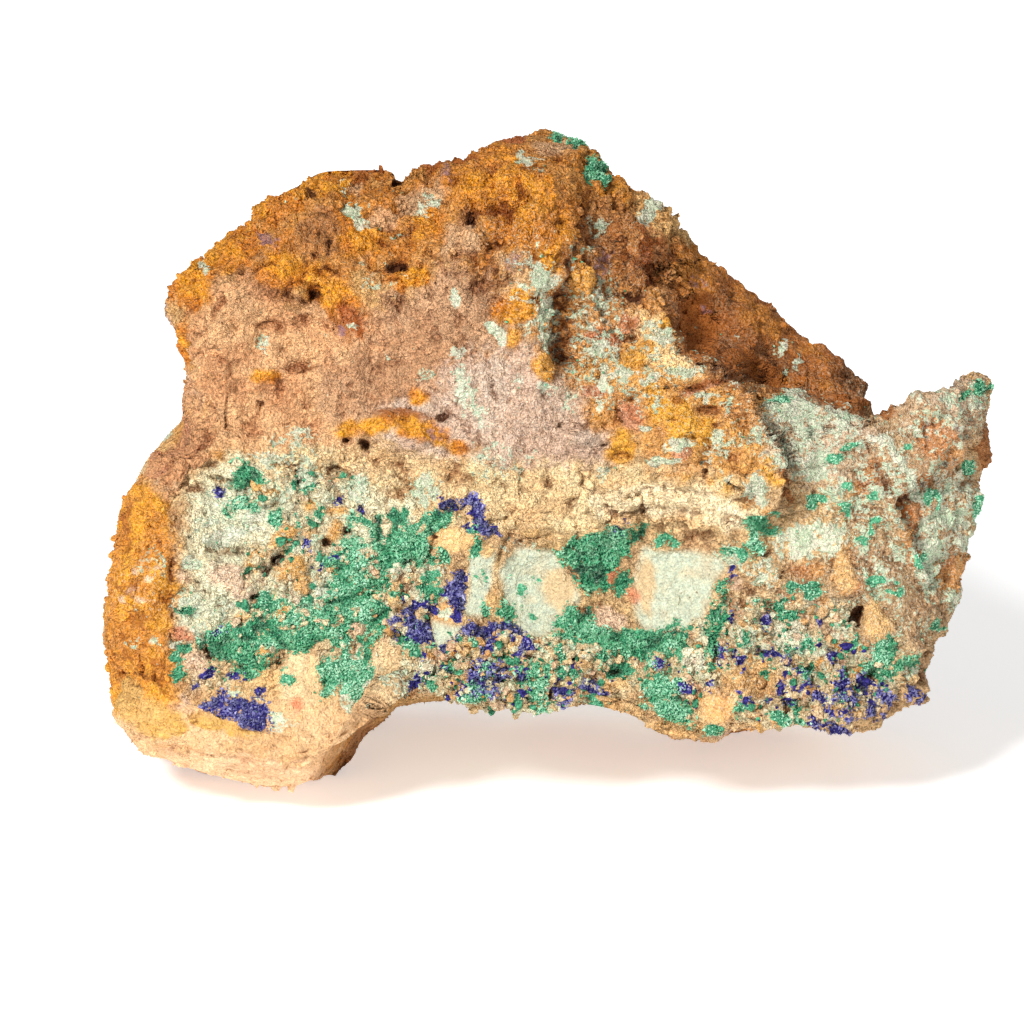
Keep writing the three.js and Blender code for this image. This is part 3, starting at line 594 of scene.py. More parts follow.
# ---- What lies where on the face ----
MALACHITE = {  # footprints of the malachite crusts, as closed lines of x, u
    "malachite_druse_left": (
        (-38.6, 20), (-37.5, 17), (-32, 16), (-30.6, 19), (-25, 19.6), (-17.5, 19.8), (-15.7, 22.5),
        (-15.6, 29.5), (-11, 29.8), (-7.4, 31), (-7.6, 36.4), (-12, 37), (-18, 37), (-20.4, 36.6),
        (-20, 33.5), (-23, 31.6), (-23.4, 26), (-27, 25.4), (-31.5, 26), (-32.4, 23.4), (-36.6, 22.8),
    ),
    "malachite_druse_lower_left": ((-23.6, 14.4), (-18, 14.6), (-17.6, 18.6), (-20, 19), (-23.6, 18.6)),
    "malachite_druse_upper_left": ((-34.4, 40.2), (-31.2, 40.3), (-31, 42), (-33.6, 42.4)),
    "malachite_druse_west": ((-35.2, 36.4), (-32.4, 36.6), (-32.3, 38.4), (-34.6, 38.8)),
    "malachite_druse_pocket_wall": (
        (5, 31.4), (7.6, 28.4), (9.4, 26.2), (11.6, 26.4), (13.4, 28.6), (14.6, 32.6), (14.2, 33.4),
        (9.6, 33),
    ),
    "malachite_druse_middle": (
        (-2.9, 23.6), (-1.6, 23.9), (0.8, 24.3), (1.2, 25.2), (-0.4, 25.6), (-2.4, 25.2),
    ),
    "malachite_druse_centre": (
        (5.8, 21.8), (8.6, 21.4), (11, 20.4), (12.6, 18.2), (16.4, 18.4), (21.6, 17.9), (22, 20.4),
        (20.6, 23.2), (15.8, 23.6), (11.4, 23.2), (9.4, 25.4), (6.2, 25),
    ),
    "malachite_ridge": (
        (24.2, 18.2), (25.6, 18.2), (26.6, 22), (26.9, 26.2), (25.9, 27), (24.8, 25), (24.3, 22),
    ),
    "malachite_druse_lower_middle": (
        (1.3, 15.6), (3, 12.6), (4, 12.6), (4.3, 15.4), (5.2, 17.6), (3.4, 18.4), (1.4, 18),
    ),
    "malachite_druse_lower_right": (
        (15.4, 15.4), (17, 12.6), (19.6, 10.2), (22.2, 10), (21.8, 12.8), (19.8, 16.2), (17.6, 17.2),
        (16, 16.8),
    ),
    "malachite_druse_under_knob": ((28.4, 33), (30, 31.4), (33, 33.2), (33.2, 35.6), (30.6, 35.6)),
    "malachite_druse_right_corner": (
        (44, 17), (45.6, 15.8), (48, 17), (50.2, 16.8), (50.4, 18), (48.6, 18.6), (48, 20), (46, 19.8),
    ),
}
AZURITE = {  # footprints of the azurite crusts
    "azurite_crust_lower_left": (
        (-38.9, 13.9), (-37, 13), (-34.4, 12.4), (-31.6, 10.8), (-29.6, 11.2), (-30.4, 12.8), (-33.4, 14.6),
        (-36.6, 15.4),
    ),
    "azurite_nodule_cluster": (
        (-15.2, 22.4), (-14.4, 20.4), (-12.4, 19.9), (-10.2, 20.8), (-10, 22.4), (-12, 23.6), (-12.6, 25.4),
        (-13.8, 25.2), (-14, 23.6),
    ),
    "azurite_arm": ((-7.6, 26.2), (-6.2, 24.4), (-5.6, 25.6), (-5.4, 28.6), (-6.6, 29.4), (-7.4, 28.2)),
    "azurite_arc_middle": (
        (-9.2, 20.2), (-8.8, 19.6), (-6.2, 20.8), (-4.6, 22), (-2.8, 20.9), (-1.4, 21.6), (0.4, 22),
        (0.8, 19.6), (1.8, 19.6), (1.6, 23), (0.6, 23.8), (-1.6, 23.3), (-3.2, 22.8), (-4.8, 23.9),
        (-6.6, 22.4),
    ),
    "azurite_bar_upper": (
        (-9.2, 37.4), (-5.6, 37.2), (-4.4, 34.8), (-2, 32.8), (-1.4, 34), (-3.4, 36.6), (-4.8, 38.5),
        (-9.2, 38.6),
    ),
    "azurite_cluster_lower_middle": (
        (-5.4, 13.8), (-2.4, 13.2), (-0.4, 14.6), (0.6, 17.6), (-1.2, 19.2), (-4.8, 19.2), (-5.6, 16.6),
    ),
    "azurite_cluster_lower_right": ((4.8, 12.8), (7, 12.7), (7.5, 14), (6, 15), (4.9, 14.9)),
    "azurite_cluster_lower_east": (
        (8.8, 14.4), (10.4, 13.2), (12.6, 14.2), (12.4, 15.8), (10.4, 16.2), (9, 15.6),
    ),
    "azurite_field_right": (
        (38, 11.4), (41, 9.8), (44.6, 10.6), (47.2, 11.8), (47.4, 14), (45, 15), (41, 15.4), (38.6, 14.4),
    ),
    "azurite_corner": ((49, 12.9), (50.6, 12.8), (51, 14), (50.2, 14.8), (49.2, 14.2)),
}
SHARES = {  # the share of a crust's footprint that its mineral covers, where it isn't all
    "azurite_field_right": 0.36, "azurite_cluster_lower_middle": 0.42, "azurite_nodule_cluster": 0.75,
    "azurite_cluster_lower_east": 0.6, "azurite_cluster_lower_right": 0.7, "malachite_druse_left": 0.76,
}


def footprint(line: tuple, x: Array, u: Array, edge: float) -> Array:
    """How far inside a closed line points are: 1 inside, 0 outside, over a soft edge.

    A point is inside where a ray from it crosses the line an odd number of times. The distance to the
    nearest of the line's segments, signed by that, is turned into the cover.
    """
    distance = Line(1, tuple((*turn, 0) for turn in (*line, line[0]))).nearest(x, u)[0]
    inside = np.zeros(x.shape, bool)
    for (x0, u0), (x1, u1) in zip(line, (*line[1:], line[0])):
        if u0 != u1:
            inside ^= ((u0 > u) != (u1 > u)) & (x < (x1 - x0) * (u - u0) / (u1 - u0) + x0)
    return smooth(0.5 + np.where(inside, distance, -distance) / edge)


@dataclass(frozen=True)
class Ground:
    """Two earth colours that mottle each other, the softness of their edge and the ovals they cover."""

    colour: str
    second: str
    edge: float
    places: tuple


GROUNDS = (  # each is laid over those before it
    Ground("c3a070", "b8946a", 0.8, ovals((0, 25, 60, 20), (45, 30, 20, 30))),
    Ground("b26c1c", "b87c38", 0.9, ovals((-12, 76, 27, 10), (3, 70, 12, 16), (12, 62, 9, 12))),
    Ground("ca9b6e", "bd875c", 0.8, ovals((-22, 54, 19, 9), (-28, 50, 14, 8), (-34, 58, 7, 8))),
    Ground("b58b68", "a87b58", 0.8, ovals((-8, 57, 10, 10), (-15, 52, 9, 6), (-8, 62, 4, 6))),
    Ground("bfa895", "ba9c87", 0.9, ovals((0, 50, 10, 7), (-10, 47, 8, 4), (4, 44, 9, 5))),
    Ground("c69c6c", "ba8a5a", 0.8, ovals(
        (2, 65, 4, 7), (13, 69, 4, 3.4), (20, 57.6, 6, 3), (28, 62, 3, 2, 1, -40),
    )),
    Ground("d08a1c", "bd701a", 0.7, ovals(
        (-39.5, 65.4, 2.4, 4), (-35, 69.9, 5, 3, 1, 35), (-27.3, 66.5, 4.4, 2.4), (-22, 63, 4, 2.4, 1, -20),
        (-23.9, 78.8, 5, 1.8), (-29, 75, 4, 2.4, 1, 30), (-12.7, 65.9, 2.8, 1.6), (-19.4, 72, 3.4, 3),
        (-40.9, 57.6, 0.9, 3), (4.5, 68.3, 2, 2), (0, 61.8, 3, 2), (4.5, 54.6, 2, 1.8), (0, 58.1, 1.1, 1.1),
        (9.1, 65.5, 1.6, 1.9), (-11, 72.9, 2, 2), (-30.6, 53.6, 2.2, 1), (-12, 50.6, 1.2, 1),
    )),
    Ground("d0881a", "b87020", 0.8, ovals(
        (-1.3, 75.2, 5.6, 3), (2.2, 71.7, 5, 3), (-2, 80, 3, 2), (12.6, 76, 2.2, 1.5),
    )),
    Ground("ab5a18", "9a4e1c", 0.7, ovals(
        (-18.3, 79.5, 2.2, 1), (-7.1, 79.4, 4, 0.9), (-20, 60.4, 1, 2.4, 1, 35), (0, 83, 2, 1),
        (16, 69, 3, 4, 1, 20),
    )),
    # Partly painted shade: the narrow strip at x 6.8 and the ovals at x 11.5 to 13 darken the crown's
    # gullies.
    Ground("aa7038", "986030", 0.7, ovals(
        (-24, 71, 3, 3), (11.5, 71, 4, 5), (13, 65, 4, 3), (-5.6, 73, 1.4, 1.4), (6.8, 63, 1, 8),
    )),
    Ground("bd8c60", "c39a72", 0.7, ovals(
        (-6.4, 70.4, 2.8, 2), (-11, 76, 3, 1.4), (5.6, 82, 2.2, 1.2), (-16, 74, 2, 1.4),
        (-24.4, 61.4, 1.3, 1), (-19.4, 78.4, 0.9, 0.8),
    )),
    Ground("cc924a", "bc8248", 0.6, ovals(
        (25, 48, 10, 9, 1, -20), (16, 51, 8, 5), (12, 57, 7, 6), (20, 59, 6, 4),
    )),
    Ground("f2c88c", "e6b878", 0.8, ovals((21, 57, 5.4, 3.4), (16, 60, 3, 2))),
    Ground("d2962e", "c68838", 0.6, ovals(
        (20, 60, 1.9, 0.9), (16.6, 57.2, 1.3, 1), (15, 55.2, 1.9, 1.2), (17.2, 50.2, 1.3, 2.8),
        (22, 46.6, 3.2, 2.2), (13, 44, 1.8, 2.4), (18, 40, 6, 1.3), (25, 39, 2.2, 1.6), (33, 42.4, 1.3, 3),
        (20, 48.6, 2.4, 1.6), (30, 36.6, 2, 1.2),
    )),
    Ground("b87f5e", "b06a44", 0.6, ovals(
        (11, 58, 2.2, 1.6), (14.4, 60.4, 1.6, 1), (20.5, 43.5, 1.2, 0.9), (10, 51.6, 2, 1),
        (23.6, 52.4, 2.8, 0.7, 1, 25), (14, 48, 1.4, 2),
    )),
    Ground("dac294", "d2ae7e", 0.8, ovals((0, 38, 30, 4.5), (18, 36, 13, 3.5), (-25, 40, 14, 5))),
    Ground("ecdcb8", "e2cca4", 0.7, ovals((18, 37.2, 9, 2.2), (27, 35.6, 4, 1.6))),
    Ground("dcd2ae", "d2d2b4", 0.5, ovals(
        (-34, 32, 6, 11), (-25, 36, 13, 5), (-37, 24, 4, 5), (-30, 28, 8, 6),
    )),
    Ground("cab088", "c4a67c", 0.6, ovals(
        (-16, 17, 2.4, 4.4), (-26, 17, 2.6, 4.4), (-9, 15, 5, 3.4), (-8.4, 22, 3, 2),
    )),
    # Partly painted shade: the recess behind the knob is painted its darkest brown where the knob shades it.
    Ground("90501a", "74421a", 0.6, ovals(
        (33, 58, 14, 6, 1, -38), (25, 63, 6, 5), (40, 52, 8, 3, 1, -20), (28, 60, 10, 7, 1, -40),
    )),
    Ground("a86820", "90521c", 0.7, ovals(
        (22, 67, 4, 3, 1, -30), (31, 61, 5, 1.6, 1, -40), (37, 56, 5, 1.4, 1, -40),
        (36, 52.6, 5, 1.2, 1, -14),
    )),
    Ground("ce8e26", "be7a2a", 0.5, ovals((-47, 28, 6, 14), (-47, 16, 6, 6), (-47, 36, 5, 5))),
    Ground("b9845a", "b27a5a", 0.7, ovals((-43, 45, 5, 5))),
    Ground("c49f76", "bb9266", 0.5, ovals((-33, 4, 19, 9.5, 1, -4), (-22, 9, 8, 4, 1, 20))),
    # Painted light: a lighter strip along the foot's lower edge, where the face turns under into shade.
    Ground("cfab86", "c49c78", 0.9, ovals((-31, 1, 16, 3.4, 1, -8))),
    Ground("b88a3e", "b88f50", 0.7, ovals(
        (-45, 10.4, 4, 3, 1, -20), (-36, 10.6, 5, 1.2, 1, -12), (-48, 13, 2, 3),
    )),
    Ground("cda36c", "c3935c", 0.5, ovals(
        (25.6, 12.3, 2.1, 2.3), (-8, 23.2, 2, 2.4), (30, 15.8, 4.4, 2.2), (45, 22.6, 2.4, 3.2),
        (7, 20, 1.8, 1.4), (12, 12.5, 2.4, 1), (20, 8.6, 3, 1),
    )),
    Ground("cb8a1c", "bd7220", 0.9, ovals(
        (-11.6, 46.6, 4, 1.5, 1, -14), (-17, 47.4, 2.6, 1.4, 1, 10), (-20.4, 46.8, 1.8, 1.2),
        (-7, 44.6, 1.4, 0.9),
    )),
    Ground("a78864", "9f7c5a", 0.8, ovals((50, 34, 9, 18, 1, 10), (53, 49, 7, 5), (42, 24, 8, 8))),
    Ground("b99d82", "af9272", 0.8, ovals((54, 49.6, 6, 4.4), (38, 45, 7, 5, 1, -20))),
    Ground("c08a50", "b0774a", 0.7, ovals(
        (52.4, 45.6, 2.4, 4, 1, 35), (49.6, 34.6, 1.4, 4), (41.2, 29.4, 1.6, 3), (44, 40.4, 1.4, 3, 1, -30),
        (36.8, 29.4, 2, 1), (56, 29, 2, 3),
    )),
)
VEINED = ovals(  # where thin pale green veins run, with how strong they are
    (17, 54, 8, 6, 0.9), (27, 46, 7, 9, 0.7), (9, 61, 6, 9, 0.8), (2, 64, 3, 8, 0.8), (-16, 74, 9, 4, 0.4),
    (-16, 65, 4, 3, 0.5), (52, 48, 6, 6, 0.9), (44, 42, 8, 8, 0.7),
)
SALTED = ovals(  # how much the earth is flecked with pale specks, where it is more than a trace
    (47, 36, 14, 21, 0.35), (11, 60, 8, 12, 0.25), (24, 50, 9, 9, 0.2), (-24, 33, 18, 10, 0.3),
    (-46, 27, 6, 4, 0.25), (0, 51, 8, 6, 0.3), (33, 18, 16, 9, 0.3), (0, 68, 5, 8, 0.25),
)
CLODS = (  # clods of earth that stand on the face, by colour, with their height
    ("d0943c", ovals(
        (-31.6, 39.5, 0.9, 0.7, 0.6), (-29.8, 39.3, 0.7, 0.6, 0.5), (-24.9, 37.1, 1, 0.9, 0.8),
        (-28.4, 33.4, 2.1, 1, 0.9, 30), (-22, 33.9, 1.2, 0.9, 1, 30), (-27.1, 29.4, 1.9, 1.2, 1, 30),
        (-31.8, 30.6, 1.4, 0.9, 0.6, 40), (-22, 29.4, 0.7, 0.7, 0.5), (-28.5, 24, 1.3, 0.7, 0.5, 30),
        (-33.2, 23.4, 0.7, 0.8, 0.5), (-30.9, 19.8, 0.7, 0.8, 0.5), (-21.8, 36.5, 1.2, 0.8, 0.5),
        (-26, 27.4, 0.9, 1.3, 0.5), (30.8, 9.6, 0.6, 1.2, 0.4), (4.5, 54.6, 1.9, 1.7, 0.7),
        (0, 58.1, 1, 1, 0.7), (9.1, 65.5, 1.5, 1.8, 0.9), (15, 55.2, 1.9, 1.2, 0.6),
    )),
    ("d6ac72", ovals(
        (-29.6, 16.7, 1.6, 1, 0.6), (-25.1, 33.8, 0.8, 0.8, 0.6), (-14.6, 25.8, 1, 1.8, 0.7),
        (-7.3, 33.3, 2.6, 1.5, 0.9, -15), (-5, 20.1, 1.2, 0.8, 0.6), (-1.4, 25.9, 1.2, 1.1, 0.9),
        (-2.3, 31.2, 0.8, 0.9, 0.7), (45, 22.6, 1.8, 2.4, 1.2), (41.2, 29.4, 1.3, 2.6, 0.8),
        (0.6, 20.2, 0.8, 0.7, 0.5), (9.6, 17.6, 1.2, 0.8, 0.5), (13.4, 15.4, 1.2, 0.8, 0.5),
        (2.2, 33.4, 1, 0.7, 0.5),
    )),
    ("b1966f", ovals((16.8, 27.4, 1, 2.5, 0.1), (5.6, 27, 1.8, 2, 0.1))),
    ("d6b498", ovals(
        (-33.2, 26.6, 1.9, 1.5), (-35.4, 28.8, 2.3, 1.9, 0.8), (-19.3, 21.8, 1.3, 1.1, 0.6),
        (-39.4, 18, 1.5, 1, 0.8), (12.3, 24.4, 2.1, 1.3, 0.9, 10), (-40.5, 28.5, 0.7, 0.9, 0.4),
        (38.6, 11.2, 0.5, 0.6, 0.4), (28, 27.8, 0.8, 1, 0.5), (-47.7, 29, 0.6, 0.4, 0.2),
        (-45.2, 28, 0.7, 0.5, 0.2), (-48, 26.7, 0.5, 0.4, 0.2), (-44, 29.9, 0.5, 0.4, 0.2),
        (-49.2, 25.5, 0.5, 0.5, 0.2), (-46.5, 25.5, 0.7, 0.4, 0.2),
    )),
    ("c0704e", ovals(
        (-40.5, 21.1, 1.3, 1, 0.5), (12.9, 28.3, 0.8, 0.75, 0.8), (15.5, 26.6, 0.6, 0.6, 0.5),
        (-17.5, 29.6, 0.7, 0.9, 0.4), (-26.6, 13.2, 0.8, 0.7, 0.3),
    )),
    ("dadcc4", ovals(
        (22.4, 18.5, 1.7, 1.5, 0.8), (35, 21.6, 1.6, 1.4, 0.5), (-14.2, 29.2, 1.3, 1.1, 0.4),
        (-11, 17.4, 1, 1.4, 0.4), (11, 14.9, 0.6, 0.5, 0.4),
    )),
)
GREEN_TONES = ovals(  # how light the malachite is, where it isn't a half
    (-34.5, 18.6, 3.6, 2.6, 0.1), (-12.9, 33.2, 3, 2.4, 0.2), (-24, 21.6, 5, 2, 0.3), (-19.4, 26, 3, 5, 0.5),
    (-20, 16.4, 3, 3, 0.85), (-9, 30, 2, 3, 0.7), (9, 30, 5, 4, 0.2), (15, 21, 8, 3, 0.3),
    (19, 13.6, 3, 3.4, 0.6), (25.6, 22, 1.4, 5, 0), (3, 15.4, 2.4, 3, 0.5), (46, 36, 13, 14, 1.1),
    (10, 79, 4, 6, 0.15), (-33, 41, 2, 2, 0.3), (18.7, 31.7, 1.8, 0.8, 0.9), (-9, 20, 3, 5, 0.3),
)
POCKETS = (  # smooth pale floors of the open pockets, as closed lines
    (
        (1.3, 31.2), (4.5, 30.9), (6.1, 28.8), (7.9, 26.7), (7.9, 25.9), (6.1, 24.8), (5.5, 22.4),
        (2.9, 21.9), (1.3, 23.3), (0.5, 26.4), (-0.5, 28.8), (0.3, 30.1),
    ),
    (
        (16.1, 30.9), (18.7, 31.1), (22.6, 31), (25.8, 30.3), (26.1, 28.8), (24.7, 27.5), (23.7, 23.5),
        (21.3, 22.6), (17.4, 23), (16.1, 23.7), (15.5, 25.9), (15.6, 28),
    ),
    ((-4.8, 30.6), (-1.4, 31.2), (-1.2, 28.2), (-2.6, 25.6), (-3.4, 24), (-5.2, 24.6), (-4.8, 28)),
    ((-10, 23.6), (-7.4, 23.4), (-4.6, 23.6), (-6, 22.6), (-8, 20.4), (-9.6, 20), (-10.2, 21.6)),
)
MINT = ovals(  # pale green films, with how thick they are
    (-24.9, 41.2, 1.6, 2.2, 0.7), (-19.3, 39.4, 1.9, 1.6, 0.7), (-11.5, 39.7, 2, 1.9, 0.75),
    (-27, 44, 4, 4, 0.45), (-31, 43.5, 1.6, 1.2, 0.6), (-35.2, 33.6, 2.8, 1.3), (-31.6, 35.4, 2.8, 1.7, 0.8),
    (-37, 35, 2, 2, 0.5), (-39.4, 30.3, 1, 1.3, 0.8), (-40, 25, 1.8, 2, 0.7), (-35.4, 24.3, 2, 1.5, 0.7),
    (-19.3, 15.6, 3, 4, 0.9), (-13.6, 14, 2, 1.6, 0.5), (-37, 22, 3, 2, 0.5), (-24, 26.6, 3, 2, 0.6),
    (-30, 37, 9, 5, 0.42), (-20, 33, 9, 4, 0.38), (-39.8, 20.4, 2.2, 1.8, 0.8), (8, 60, 7, 9, 0.38),
    (16, 54, 8, 5, 0.4), (10, 52, 6, 4, 0.36), (36, 46, 6, 5, 0.62, -20), (44, 39, 8, 8, 0.44),
    (54, 37, 4.4, 7, 0.66), (52, 30, 2, 4, 0.7, 30), (55, 49, 5, 4, 0.46), (47, 24, 7, 6, 0.36),
    (-14, 29.2, 1.8, 1.6, 0.6), (-9, 27, 2, 4, 0.5), (35, 49.4, 3, 2.4, 0.85, -20),
    (39.6, 47.6, 4, 2.4, 0.7, -20), (37.4, 42.6, 2.2, 2.2, 0.85), (37.2, 33, 4.6, 2.6, 0.85),
    (31.6, 29, 2.4, 2, 0.6), (43, 45.4, 2, 1.6, 0.6), (45.6, 45.4, 1.6, 1, 0.8, -30),
    (47.6, 43, 0.8, 2, 0.9, 25), (49.6, 40, 0.9, 2.2, 1, 20), (41.5, 36, 2, 4, 0.45), (55, 36, 3, 3.6, 0.62),
    (53, 32, 1.6, 2, 0.7), (56, 25.5, 1.6, 2, 0.75), (54, 42, 2, 2, 0.45), (58, 50.4, 1.2, 2.4, 0.7),
    (52, 49, 1.4, 1, 0.5), (46, 30, 4, 4, 0.45), (35.1, 21.4, 2.2, 1.9), (29.7, 20.6, 1.8, 1.6, 0.7),
    (30.5, 39.4, 1.5, 2.3), (27.4, 39.9, 1, 1, 0.8), (24.3, 43.6, 0.7, 2, 0.75), (25, 46, 0.9, 1, 0.8),
    (20, 44.7, 1.8, 0.9, 0.9), (18, 42.5, 2.8, 0.6, 0.75), (25, 50.8, 2.6, 0.8, 0.6, -8),
    (20.7, 54, 2.2, 0.7, 0.9), (16.8, 52.8, 1.6, 0.6, 1, 20), (13.6, 53.6, 1.7, 0.8, 0.8),
    (11.2, 53, 0.9, 1.8, 0.85), (10.4, 56.4, 2, 1.5, 0.85), (19, 58.6, 2, 1.1, 0.85),
    (26, 56.4, 1.6, 0.7, 0.5), (15.8, 46.7, 0.9, 0.35), (10.6, 49.8, 1.8, 0.5, 0.7), (11, 41, 1.2, 1.2, 0.6),
    (11.4, 63.6, 1.3, 1, 0.8), (12.8, 56, 0.5, 1.8, 0.9), (17.4, 59.4, 1.6, 0.9, 0.7),
    (3.8, 65.3, 1.7, 1.7, 0.9), (5.9, 61.8, 1.3, 1.2, 0.85), (5.2, 58.6, 1, 3, 0.8),
    (-2.7, 59.5, 1.3, 0.7, 0.95, -40), (-1.5, 58.1, 0.8, 0.7, 0.9), (-6.8, 56, 1.1, 0.9, 0.8),
    (-6.8, 62.9, 0.7, 1.3, 0.8), (4, 52.1, 1.3, 1, 0.75), (-6, 51.6, 1.5, 3.2, 0.62),
    (-4.4, 48.6, 1.2, 2, 0.5), (0.6, 52.6, 1, 1, 0.6), (-1.6, 43, 4, 3, 0.42), (-20.1, 74.8, 1.3, 1.1, 0.9),
    (-18.6, 73.2, 1.2, 0.9, 0.9), (-21, 77.9, 0.9, 0.9, 0.7), (-10.5, 74.8, 1.4, 1.1, 0.85),
    (-38.6, 67, 0.6, 0.9, 0.9), (-30.8, 57.4, 1, 1, 0.75), (-17.2, 65, 1.5, 1.3, 0.5),
    (-16.3, 55.8, 0.9, 0.8, 0.6), (-11, 53.4, 1, 1, 0.5), (-19.9, 59.6, 0.9, 0.5, 0.7),
    (1.7, 80, 1.3, 1, 0.9), (3, 78.6, 0.9, 0.8, 0.6), (11, 72.4, 1.5, 1.3, 0.6), (16.5, 73.3, 1.5, 1),
    (34.2, 57.1, 0.8, 0.8, 0.8), (36.1, 55.7, 0.7, 0.7, 0.8), (34.2, 54.1, 0.6, 0.6, 0.7),
    (28.8, 58.8, 0.5, 0.7, 0.6), (-33, 14.5, 4, 1, 0.5, -10), (-29, 11.6, 3, 0.9, 0.5, -20),
    (0, 31, 4, 1.6, 0.4), (0, 17, 16, 6, 0.3), (30, 21, 8, 5, 0.3), (44, 18, 7, 4, 0.34),
    (50.4, 16.4, 0.9, 1.3, 0.8), (27, 30.6, 3, 2, 0.6), (22.4, 18.5, 1.8, 1.6, 0.6), (-46, 20, 3, 0.6, 0.4),
    (-45, 30, 3, 3, 0.28), (-47, 24, 2, 2, 0.3),
)
GREEN = ovals(  # flecks of malachite outside the crusts
    (-41.8, 18, 1, 0.8), (-40.2, 19.4, 0.8, 0.7), (-7.6, 17, 1.4, 1.1), (-5.6, 13.2, 1.6, 0.9),
    (0.8, 13.4, 1.4, 0.8), (-10.4, 14.6, 0.9, 0.7), (7.4, 16.6, 1.2, 0.9), (6.2, 19, 0.9, 0.8),
    (9.6, 12.2, 1.2, 0.6), (13.6, 12.6, 1, 0.6), (-32.7, 41.2, 1.6, 1.3), (-33.8, 37.7, 1.5, 1.3),
    (-29.4, 35.9, 1.2, 1.2), (-23.3, 36.1, 0.8, 1), (-18.6, 35.9, 1.2, 1.2), (-14.2, 37, 1.7, 1.2),
    (-9.7, 36.3, 2, 1.3), (-12.9, 33.1, 2.8, 2.1), (-8.8, 31.2, 1.6, 1.4), (-9.3, 27.4, 1.5, 2),
    (-34.8, 21.8, 1.9, 1), (-29.8, 24.8, 2.2, 1.2), (-23, 21.4, 6, 1.6), (-41.4, 17.3, 0.8, 0.8),
    (-27.5, 16, 0.9, 0.7), (-28.7, 17.1, 0.6, 0.6), (-27.6, 31.6, 0.9, 0.7), (-26.6, 35.4, 0.6, 0.9),
    (-20, 31.4, 1.4, 1.2), (-24.6, 35, 0.7, 0.9), (37.7, 38.3, 1.2, 1), (41, 37.3, 0.9, 1.2),
    (44.8, 34.8, 0.9, 1), (43.6, 32.9, 0.8, 0.8), (44.6, 28, 1.2, 1.1), (47.6, 27, 1.1, 1.3),
    (50.7, 30.7, 1, 0.9), (40.2, 43.3, 1, 0.8), (41.7, 44.6, 0.8, 0.6), (51.9, 38.3, 1.1, 1.4),
    (57.2, 41.7, 0.9, 1), (57.8, 37.1, 0.9, 1.3), (41.7, 39.8, 0.7, 0.8), (44.8, 38.1, 0.8, 0.7),
    (43.6, 32.6, 0.7, 0.6), (58.5, 51.9, 1, 0.8), (56.4, 51.2, 1, 0.6), (53.1, 22, 0.9, 0.7),
    (48.2, 44.6, 0.6, 0.8), (33.6, 50.6, 0.8, 0.6), (37, 27, 1.4, 1), (34.7, 23.2, 1.2, 1),
    (36.6, 20.6, 1.2, 0.8), (42.6, 20.4, 0.6, 0.9), (15.5, 32.5, 0.9, 0.7), (18.7, 31.8, 1.8, 0.6),
    (26, 31.4, 1.6, 0.7), (28.6, 31.2, 1, 1.2), (33.4, 25, 1, 1.2), (31, 25, 0.8, 0.8), (13.6, 17.2, 1.4, 1),
    (36, 17.4, 1.2, 0.9), (49.8, 17.7, 1.6, 0.6), (46.6, 19.6, 1.3, 1.6), (-4.2, 34.6, 0.9, 1.2),
    (-4, 32, 0.6, 1.6), (10, 78.8, 1.4, 1.8), (7.7, 82.4, 1.1, 0.9), (5.9, 83.5, 1, 0.8),
    (10, 12.5, 0.9, 0.8), (28.6, 12.2, 0.9, 0.7), (33, 11.4, 1.2, 0.8), (35.4, 12.4, 0.8, 0.8),
    (35.8, 10, 1, 0.8), (24.5, 9.2, 1.6, 0.7), (-3.9, 28.3, 0.45, 0.4), (-2.4, 28.5, 0.4, 0.4),
    (1.9, 26.7, 0.45, 0.4), (3, 24.6, 0.35, 0.35), (-7.4, 22.3, 0.45, 0.4), (-9, 20.7, 0.4, 0.4),
    (1.2, 28, 0.3, 0.3), (3.4, 27.6, 0.25, 0.3), (14.4, 27.6, 0.8, 1), (7.4, 23.4, 1.8, 1.2),
    (-4.4, 14.4, 1.6, 1.2), (-3.2, 17.4, 1, 1.2), (31.8, 16.8, 0.6, 0.6), (-40, 24.4, 0.8, 0.6),
    (34.8, 27.4, 0.7, 0.7),
)
